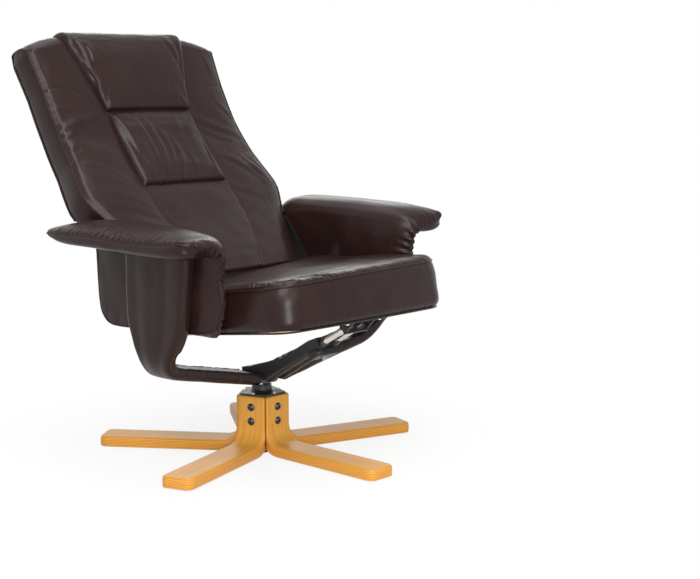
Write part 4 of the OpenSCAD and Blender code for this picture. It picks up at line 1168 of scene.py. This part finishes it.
OUTER = [
    [(286, -176, 331), (294, -166, 326), (299, -140, 321), (300, -60, 315), (300, 40, 311),
     (300, 120, 307), (300, 158, 311), (300, 180, 331), (300, 187, 356)],
    [(290, -199, 380), (290, -184, 381), (292, -162, 382), (297, -132, 383), (303, -96, 384),
     (304, 0, 384), (304, 120, 384), (300, 190, 386)],
    [(290, -192, 418), (290, -178, 419), (292, -158, 421), (298, -128, 423), (303, -94, 424),
     (304, 0, 425), (304, 120, 425), (300, 192, 426)],
    [(290, -193, 452), (292, -176, 454), (296, -155, 456), (300, -125, 459), (303, -94, 460),
     (304, 0, 460), (304, 120, 460), (300, 194, 460)],
    BAND[-1],
]
# the folds of the inner face, as y and z
INNER_FOLDS = [
    (13, 1.9, [(60, 330), (95, 360), (120, 400), (150, 430)]),
    (11, 1.7, [(20, 320), (50, 350), (70, 390), (96, 424)]),
    (9, 1.1, [(100, 330), (130, 365), (150, 395)]),
    (9, 1.0, [(-30, 316), (0, 340), (16, 368)]),
    (10, 0.9, [(-120, 330), (-100, 360), (-92, 400)]),
    (9, 0.9, [(140, 470), (120, 440), (112, 405)])]
# the steps of the three lofts: rows of each, and columns of all
COVER_ROWS, BAND_ROWS, OUTER_ROWS, ARM_COLUMNS = 46, 16, 22, 48
# the guide of COVER where the band starts and the outer face ends
CORNER = 5
# the rear of the inner face and of its piping stay outside these distances from the middle
PANEL_IN, PIPING_IN = 259.0, 260.5
OUTWARD, REARWARD, UPWARD = np.identity(3)
# the points of a facing, as parts of the way across it
FACING = [0, 0.03, 0.08, 0.16, 0.28, 0.42, 0.58, 0.72, 0.84, 0.92, 0.97, 1]


def facing(first, second, push, lift):
    """A strip sewn between two edge lines, standing out in the middle."""
    t = np.asarray(FACING)[:, None, None]
    gap = np.linalg.norm(first - second, axis=1)[None, :, None]
    return (blended(first, second, FACING)
            + push * lift * np.sin(np.pi * t) ** 0.7 * np.clip(gap / 30.0, 0, 1))


def sewn_to(sheet, line):
    """The sheet with its first column moved onto a line, and its neighbours part of the way."""
    shift = resampled(line, sheet.shape[0]) - sheet[:, 0]
    shift[[0, -1]] = line[[0, -1]] - sheet[[0, -1], 0]
    return sheet + shift[:, None] * fade(lengths_along(sheet, 1), 16.0)[..., None]


def raised(guides, crown, rear_crown):
    """Guide lines whose upper parts are lifted by a crown that changes towards the rear."""
    out = []
    for guide in guides:
        g = np.array(guide, float)
        high = ease((g[:, 2] - 506) / 26.0)
        g[:, 2] += high * (crown + (rear_crown - crown) * ease((g[:, 1] - 120) / 70.0))
        out.append(g)
    return out


def edges_of(sheet):
    """Distances down and along a sheet, and up and back from its far edges."""
    down, along = lengths_along(sheet, 0), lengths_along(sheet, 1)
    return down, along, down[-1:] - down, along[:, -1:] - along


def settled_cover(cover):
    """Air between the fixed edges swells the cover into soft leather."""
    held = np.zeros(cover.shape[:2], bool)
    held[[0, -1]] = held[:, [0, -1]] = True
    held[2:16:6, 8:-4:8] = True
    looser = np.zeros(cover.shape[:2])
    looser[:, :5] = looser[:, -4:] = looser[-6:] = 1.0
    return settle(cover[:, ::-1], held[:, ::-1], looser[:, ::-1], pressure=0.8, grow=0.03,
                  bend=2.0, cap=4.0)[:, ::-1]


def cover_relief(cover, pleats, seed):
    """The cover's gathers, folds and fullness. Its front edge is scalloped in place first."""
    up, from_front, from_seam, from_rear = edges_of(cover)
    run = up[:, :1]
    scallop = 1.9 * pleats * np.sin(2 * math.pi * run / 13.0 + 1.6 * uneven(run, 40.0, seed + 11))
    scallop = scallop * ease((run - 12) / 20) * ease((run[-1] - run - 40) / 60)
    cover[..., 1] += scallop * fade(from_front, 9.0)
    y, z = cover[..., 1], cover[..., 2]
    bump = 2.0 * filled(from_seam, 4.0) * (1 - fade(from_front, 4.0))
    bump += gathers(y, from_seam, 17.0, 4.6, 24.0, seed, 0.25) * ease((from_rear - 12) / 40)
    bump += gathers(y, from_seam, 34.0, 1.0, 46.0, seed + 1, 0.3)
    bump += 1.6 * filled(from_front, 3.0)
    pad_part = 1 + 0.5 * ease((z - 470) / 20)
    bump += gathers(run + 0 * y, from_front, 13.0, 2.0 + 3.2 * pleats, 26.0, seed + 2) * pad_part
    bump += gathers(run + 0 * y, from_front, 26.0, 2.0, 34.0, seed + 3, 0.2)
    bump += 1.6 * filled(from_rear, 4.0) + gathers(up, from_rear, 19.0, 1.3, 20.0, seed + 4)
    bump += creases(y, z, INNER_FOLDS, 0.5) * ease((480 - z) / 30)
    bump += 0.3 * ripples(y, up, 80.0, seed + 5) + 0.35 * gathers(y, up, 26.0, 1.8, 24.0, seed + 6)
    return sewn_down(bump, from_seam, from_front, from_rear, up)


def band_relief(band, seed):
    """Fullness under the seam, and faint gathers along it."""
    down, along, up, rest = edges_of(band)
    swell = 1.8 * filled(down, 3.5) * fade(down - 20, 40.0)
    swell += gathers(along, down, 24.0, 0.7, 18.0, seed + 7, 0.2) * fade(down, 60.0)
    swell += 0.4 * ripples(along, down, 60.0, seed + 8) * fade(down, 50.0)
    return sewn_down(swell, down, up, along, rest)


def outer_relief(outer, seed):
    """Fullness inside the outer face's edges, and gathers along them."""
    down, along, up, rest = edges_of(outer)
    edge = np.minimum(np.minimum(along, rest), down)
    swell = 2.0 * filled(edge, 6.0) + gathers(down, along, 30.0, 1.2, 22.0, seed + 9)
    swell += gathers(along, down, 40.0, 1.5, 30.0, seed + 10)
    swell += 0.4 * ripples(along, down, 90.0, seed)
    return sewn_down(swell, down, up, along, rest)


def arm(side, sign, crown, rear_crown, pleats, seed):
    """One arm; the crowns lift its pad in front and at the rear, pleats deepen its front."""
    cover, band, outer = (loft(raised(guides, crown, rear_crown), rows, ARM_COLUMNS)
                          for guides, rows in ((COVER, COVER_ROWS), (BAND, BAND_ROWS),
                                               (OUTER, OUTER_ROWS)))
    cover = settled_cover(cover)
    c_at = stations(480.0, 1.4, 3.6, (0.0, 1.0), 48.0) * (ARM_COLUMNS - 1)
    cover = finer(cover, stations(395.0, 1.5, 4.2, (0.0, 1.0), 32.0) * (COVER_ROWS - 1), c_at)
    band = finer(band, stations(150.0, 1.5, 6.0, (0.0, 0.16), 20.0) * (BAND_ROWS - 1), c_at)
    outer = finer(outer, stations(190.0, 2.0, 6.0) * (OUTER_ROWS - 1), c_at)

    bump = cover_relief(cover, pleats, seed)
    way = normals(cover, cover - np.array([320.0, 0.0, 470.0]))
    cover = cover + way * bump[..., None]
    # the rear half lies nearly flat, so that the back's brackets pass beside it
    over = np.clip(PANEL_IN - cover[..., 0], 0, None)
    cover[..., 0] += 0.8 * over * ease((cover[..., 1] + 20) / 60)

    # the band under the seam and the outer face are sewn to the same front edge
    corner = int(np.argmin(np.linalg.norm(cover[:, 0] - np.array(COVER[CORNER][0]), axis=1)))
    band = sewn_to(band, cover[corner:, 0][::-1])
    band_way = normals(band, band - np.array([330.0, 0, 500.0]))
    band = band + band_way * band_relief(band, seed)[..., None]
    outer = sewn_to(outer, cover[:corner + 1, 0])
    outer = outer + normals(outer, OUTWARD) * outer_relief(outer, seed)[..., None]

    # facings under the panel and at the rear, sewn in between the edges
    inner_rear, outer_rear = (resampled(line, 400) for line in (
        cover[:, -1], np.concatenate([outer[:, -1], band[::-1, -1][1:]])))
    rear = facing(inner_rear, outer_rear, np.array([0.0, 1.0, 0.1]), 3.5)
    low = facing(cover[0], outer[0], -UPWARD, 2.5)
    mirror = (sign, 1.0, 1.0)
    piece = add_sheets("arm_leather_" + side, [
        (cover, way), (band, band_way), (outer, OUTWARD), (rear, REARWARD), (low, -UPWARD)],
        "frame", mirror)
    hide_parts("arm_pad_" + side, "arm_board_" + side)
    inner_edge = np.concatenate([cover[::-1, 0], cover[0, 1:], cover[1:, -1]])
    inner_edge[:, 0] = np.maximum(inner_edge[:, 0],
                                  PIPING_IN * ease((inner_edge[:, 1] - 20) / 60))
    outer_edge = np.concatenate([outer[0], outer[1:, -1]])
    for name, line, count, radius in (("inner_piping_", inner_edge, 900, 2.2),
                                      ("outer_piping_", outer_edge, 420, 2.2),
                                      ("seam_", cover[-1], 260, 1.6)):
        tube("arm_" + name + side, resampled(line * mirror, count), radius, "frame")


arm("left", 1, 0.0, 4.0, 1.0, 200)
arm("right", -1, -11.0, -11.0, 0.15, 240)


# ---------------------------------------------------------------- the bracket's leather covers

COVER_T, BEND_R, BEND_AT = 26.0, 75.0, (260.0, 279.3)
RISE = math.radians(12)
LOW_END, TOP_END_Z = (42.0, 158.0), 479.4
# the front and rear edges of a cover, as heights and the y at each
FRONT_EDGE = ([148, 190, 228, 262, 298, 335, 410, 480],
              [-42, -43, -58, -78, -108, -120, -130, -138])
REAR_EDGE = ([148, 190, 232, 268, 300, 335, 410, 480], [42, 40, 30, 30, 48, 58, 60, 60])
EDGE_SMOOTHING = 6
# sections along a cover, and the point of a section that lies on its rear seam
COVER_SECTIONS, REAR_SEAM = 190, 58


def bracket_stations():
    """Outer skin places and inward directions from the cover's low end to its top."""
    bend_x, bend_z = BEND_AT
    slope_x = bend_x + BEND_R * math.sin(RISE) - LOW_END[0]
    slope_z = bend_z - BEND_R * math.cos(RISE) - LOW_END[1]
    rows = [(LOW_END[0] + slope_x * t, LOW_END[1] + slope_z * t, -math.sin(RISE), math.cos(RISE))
            for t in np.linspace(0, 1, 60)[:-1]]
    rows += [(bend_x + BEND_R * math.cos(a), bend_z + BEND_R * math.sin(a),
              -math.cos(a), -math.sin(a)) for a in np.linspace(-math.pi / 2 + RISE, 0, 34)]
    rows += [(bend_x + BEND_R, h, -1.0, 0.0) for h in np.linspace(bend_z, TOP_END_Z, 52)[1:]]
    return np.array(rows)


def bracket_loop(y0, y1):
    """The section's outline as (y, depth) points, from its front seam over the outer face.

    It is rounded by 3 mm along the seams and by about 15 mm along the outer edges.
    """
    def corner(y, d, ry, rd, first, last, n):
        return [(y + ry * math.cos(a), d + rd * math.sin(a))
                for a in np.linspace(first * math.pi / 2, last * math.pi / 2, n)]
    t, steps = COVER_T, np.linspace(0, 1, 30)[1:-1]
    loop = corner(y0 + 3, t - 3, 3, 3, 1, 2, 4)
    loop += corner(y0 + 15, 14, 15, 14, 2, 3, 12)
    loop += [(y0 + 15 + (y1 - y0 - 29) * k, 0.0) for k in steps]
    loop += corner(y1 - 14, 13, 14, 13, 3, 4, 10)
    loop += corner(y1 - 3, t - 3, 3, 3, 0, 1, 4)
    loop += [(y1 - 3 - (y1 - y0 - 6) * k, t) for k in steps]
    return np.array(loop)


def bracket_relief(along, around, depth, wide, span, seed):
    """Gathers along both seams, deeper at the bend and below it, and slow unevenness."""
    total = around[:, -1:] + 1.0
    from_front = np.minimum(around, total - around)
    from_rear = np.abs(around - around[:, REAR_SEAM:REAR_SEAM + 1])
    outer = np.clip(1 - depth / COVER_T, 0, 1)
    bump = 1.6 * outer * np.sin(np.pi * np.clip(wide / span, 0, 1))
    lower = ease((330 - along) / 60.0)
    bend = fade(along - 285.0, 70.0)
    share = 0.35 + 0.65 * lower + 0.4 * bend
    for k, d in enumerate((from_front, from_rear)):
        bump += gathers(along, d, 19.0, 1.3, 17.0, seed + k, 0.3) * share
        bump += gathers(along, d, 44.0, 1.4, 26.0, seed + 4 + k)
        bump += 1.2 * filled(d, 3.0) - 1.2
    in_bend = 2.2 * gathers(along, np.abs(wide - span / 2), 26.0, 1.2, 60.0, seed + 8)
    bump += (1 - outer) * in_bend * bend
    drift = 0.05 * uneven(along, 120.0, seed + 9)
    for place, reach, height in ((0.30, 15.0, -1.6), (0.62, 20.0, 1.1), (0.80, 12.0, -0.8)):
        off = (wide / span - place - drift) * span
        bump += outer * height * fade(np.abs(off), reach) * ease((along - 250) / 60.0)
    bump += 0.35 * ripples(along, wide, 70.0, seed + 10)
    return sewn_down(bump, np.minimum(along, along[-1:] - along), reach=3.0)


def bracket_cover(side, sign, seed):
    """One padded cover, from beside the spindle over the bend to the arm's board."""
    rows = bracket_stations()
    x, z, nx, nz = sampled(rows, np.linspace(0, len(rows) - 1, COVER_SECTIONS)).T
    window = np.ones(2 * EDGE_SMOOTHING + 1) / (2 * EDGE_SMOOTHING + 1)
    y0, y1 = (np.convolve(np.pad(np.interp(z, *edge), EDGE_SMOOTHING, mode="edge"), window,
                          "valid") for edge in (FRONT_EDGE, REAR_EDGE))
    y, depth = np.array([bracket_loop(*ends) for ends in zip(y0, y1)]).transpose(2, 0, 1)
    x, z, nx, nz, y0, y1 = (line[:, None] for line in (x, z, nx, nz, y0, y1))
    sheet = np.stack([x + nx * depth, y, z + nz * depth], -1)
    along = np.broadcast_to(lengths_along(np.hstack([x, z]))[:, None], depth.shape)
    bump = bracket_relief(along, lengths_along(sheet, 1), depth, y - y0, y1 - y0, seed)
    centre = np.stack([x + nx * COVER_T / 2, (y0 + y1) / 2, z + nz * COVER_T / 2], -1)
    closed = np.concatenate([sheet[:, -2:-1], sheet, sheet[:, :1]], 1)
    way = normals(closed, closed - centre)[:, 1:-1]
    sheet = sheet + way * bump[..., None]
    wrapped, wrapped_way = (np.concatenate([part, part[:, :1]], 1) for part in (sheet, way))
    caps = [(blended(wrapped[k], wrapped[k].mean(0)[None], (0.0, 0.5, 0.98)), np.array(toward))
            for k, toward in ((0, (-1.0, 0, -0.2)), (-1, (0, 0, 1.0)))]
    mirror = (sign, 1.0, 1.0)
    piece = add_sheets("bracket_leather_" + side, [(wrapped, wrapped_way)] + caps, "frame", mirror)
    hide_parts("bracket_cover_" + side)
    for name, k in (("front_", 0), ("rear_", REAR_SEAM)):
        line = (sheet[:, k] + way[:, k] * 0.4) * mirror
        tube("bracket_piping_" + name + side, resampled(line, 320), 1.9, "frame")


bracket_cover("left", 1, 300)
bracket_cover("right", -1, 330)


# ---------------------------------------------------------------- wood, metal and plastic

# dark and light colour, roughness, metallic, scale, depth of relief and other inputs
PLAIN = {
    "black_steel": ((0.010, 0.010, 0.011), (0.020, 0.020, 0.021), 0.34, 0.0, 45.0, 0.00012, {}),
    "matt_steel": ((0.007, 0.0055, 0.0055), (0.011, 0.0085, 0.0085), 0.6, 0.0, 45.0, 0.00012,
                   {"Specular IOR Level": 0.15}),
    "black_bolt": ((0.006, 0.006, 0.007), (0.014, 0.014, 0.015), 0.24, 0.0, 90.0, 0.0001,
                   {"Coat Weight": 0.4, "Coat Roughness": 0.08}),
    "zinc_steel": ((0.44, 0.44, 0.45), (0.60, 0.60, 0.59), 0.34, 1.0, 80.0, 0.0001, {}),
    "chrome_rod": ((0.78, 0.78, 0.79), (0.88, 0.88, 0.88), 0.09, 1.0, 30.0, 0.00002, {}),
    "nylon": ((0.030, 0.029, 0.028), (0.045, 0.044, 0.042), 0.42, 0.0, 70.0, 0.0001, {}),
    "black_plastic": ((0.012, 0.012, 0.012), (0.022, 0.022, 0.022), 0.5, 0.0, 120.0, 0.0002, {}),
}
SLOTS = {name: plain_material(name, *row) for name, row in PLAIN.items()}
SLOTS.update(raw_plywood=plywood_material(), brown_leather=leather)
LEG_TURN = 2 * math.pi / 5
LEG_T, LEG_W, LEG_REACH, HUB_H, GLIDE_H = 24.0, 75.0, 370.0, 131.0, 3.0
LEG_TIP_R, LEG_END_R, LEG_EDGE_R, LEG_LOW_R, HUB_TOP_R = 19.0, 8.0, 6.5, 2.5, 4.0
# half the gap between two legs at the hub, and how far the end of a ring is drawn in
MITRE_GAP, RING_END = 0.85, 2.0


def rounded_in(depth, radius):
    """How far a rounded corner has drawn in at a depth below its flat side."""
    left = np.clip(radius - np.asarray(depth, float), 0, radius)
    return radius - np.sqrt(radius ** 2 - left ** 2)


def leg_stations():
    """Places down the hub and out along a leg.

    Each has the r and z of the face towards the axis and the floor, the direction through the
    leg as r and z, and how far the section is drawn in at both faces and at its sides.
    """
    heel, hub_in = HEEL_R / MM, HEEL_FROM_AXIS / MM - HEEL_R / MM
    centre = np.array([hub_in + heel, GLIDE_H + heel])
    places = [(hub_in, HUB_H - e, 1.0, 0.0, rounded_in(e, LEG_LOW_R),
               rounded_in(e, HUB_TOP_R), 0.0)
              for e in (0.0, 0.4, 1.2, 2.6, 4.0, 20.0, 40.0, HUB_H - centre[1] - 0.5)]
    for a in np.linspace(0, math.pi / 2, 19):
        out = np.array([math.cos(a), math.sin(a)])
        places.append((*(centre - heel * out), *out, 0.0, 0.0, 0.0))
    places += [(LEG_REACH - e, GLIDE_H, 0.0, 1.0, rounded_in(e, LEG_LOW_R),
                rounded_in(e, LEG_END_R), rounded_in(e, LEG_TIP_R))
               for e in (180.0, 90.0, 30.0, LEG_TIP_R, 16.0, 13.0, 10.0, 7.5, 5.5, 4.0, 2.7, 1.6,
                         0.8, 0.3, 0.0)]
    return places


def leg_ring(r, z, out_r, out_z, lower, upper, narrower):
    """The rounded section of a leg, mitred against its neighbours where they meet."""
    top = LEG_T - upper
    low_arc = lower + LEG_LOW_R * (1 - np.cos(np.linspace(0, math.pi / 2, 4)))
    high_arc = top - LEG_EDGE_R * (1 - np.cos(np.linspace(math.pi / 2, 0, 6)))
    high_arc = np.maximum(high_arc, low_arc[-1] + 0.2 * np.arange(1, 7))
    h = np.concatenate([[low_arc[0]], low_arc, high_arc, [high_arc[-1]]])
    mitre = (r + h * out_r - MITRE_GAP) * math.tan(LEG_TURN / 2)
    half = np.minimum(LEG_W / 2, mitre) - narrower
    half = half - rounded_in(h - lower, LEG_LOW_R) - rounded_in(top - h, LEG_EDGE_R)
    half[[0, -1]] -= RING_END
    ring_h = np.concatenate([[h[0]], h, [h[-1]], h[::-1]])
    ring_w = np.concatenate([[0.0], half, [0.0], -half[::-1]])
    return np.column_stack([r + ring_h * out_r, ring_w, z + ring_h * out_z])


def leg_piece(k, material):
    """One bent leg with eased edges: a rounded section swept down the hub and out."""
    rings = np.array([leg_ring(*place) for place in leg_stations()])
    turn = -math.pi / 2 + k * LEG_TURN
    c, s = math.cos(turn), math.sin(turn)
    placed = np.stack([rings[..., 0] * c - rings[..., 1] * s,
                       rings[..., 0] * s + rings[..., 1] * c, rings[..., 2]], -1)
    name = "leg_" + str(k + 1)
    piece = add_mesh(name + "_ply", placed.reshape(-1, 3), capped_faces(*rings.shape[:2]),
                     material, "base")
    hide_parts(name)


for name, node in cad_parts.items():
    slots = [m.name.split(".")[0] for m in node.data.materials if m]
    if name.startswith("leg_") and name[4:].isdigit():
        k = int(name[4:]) - 1
        material = beech_material("beech_" + str(k + 1), math.pi / 2 - k * LEG_TURN)
        leg_piece(k, material)
    elif name.startswith("back_bracket"):
        material = SLOTS["matt_steel"]
    else:
        material = SLOTS.get(slots[0] if slots else "", SLOTS["black_steel"])
    node.data.materials.clear()
    node.data.materials.append(material)
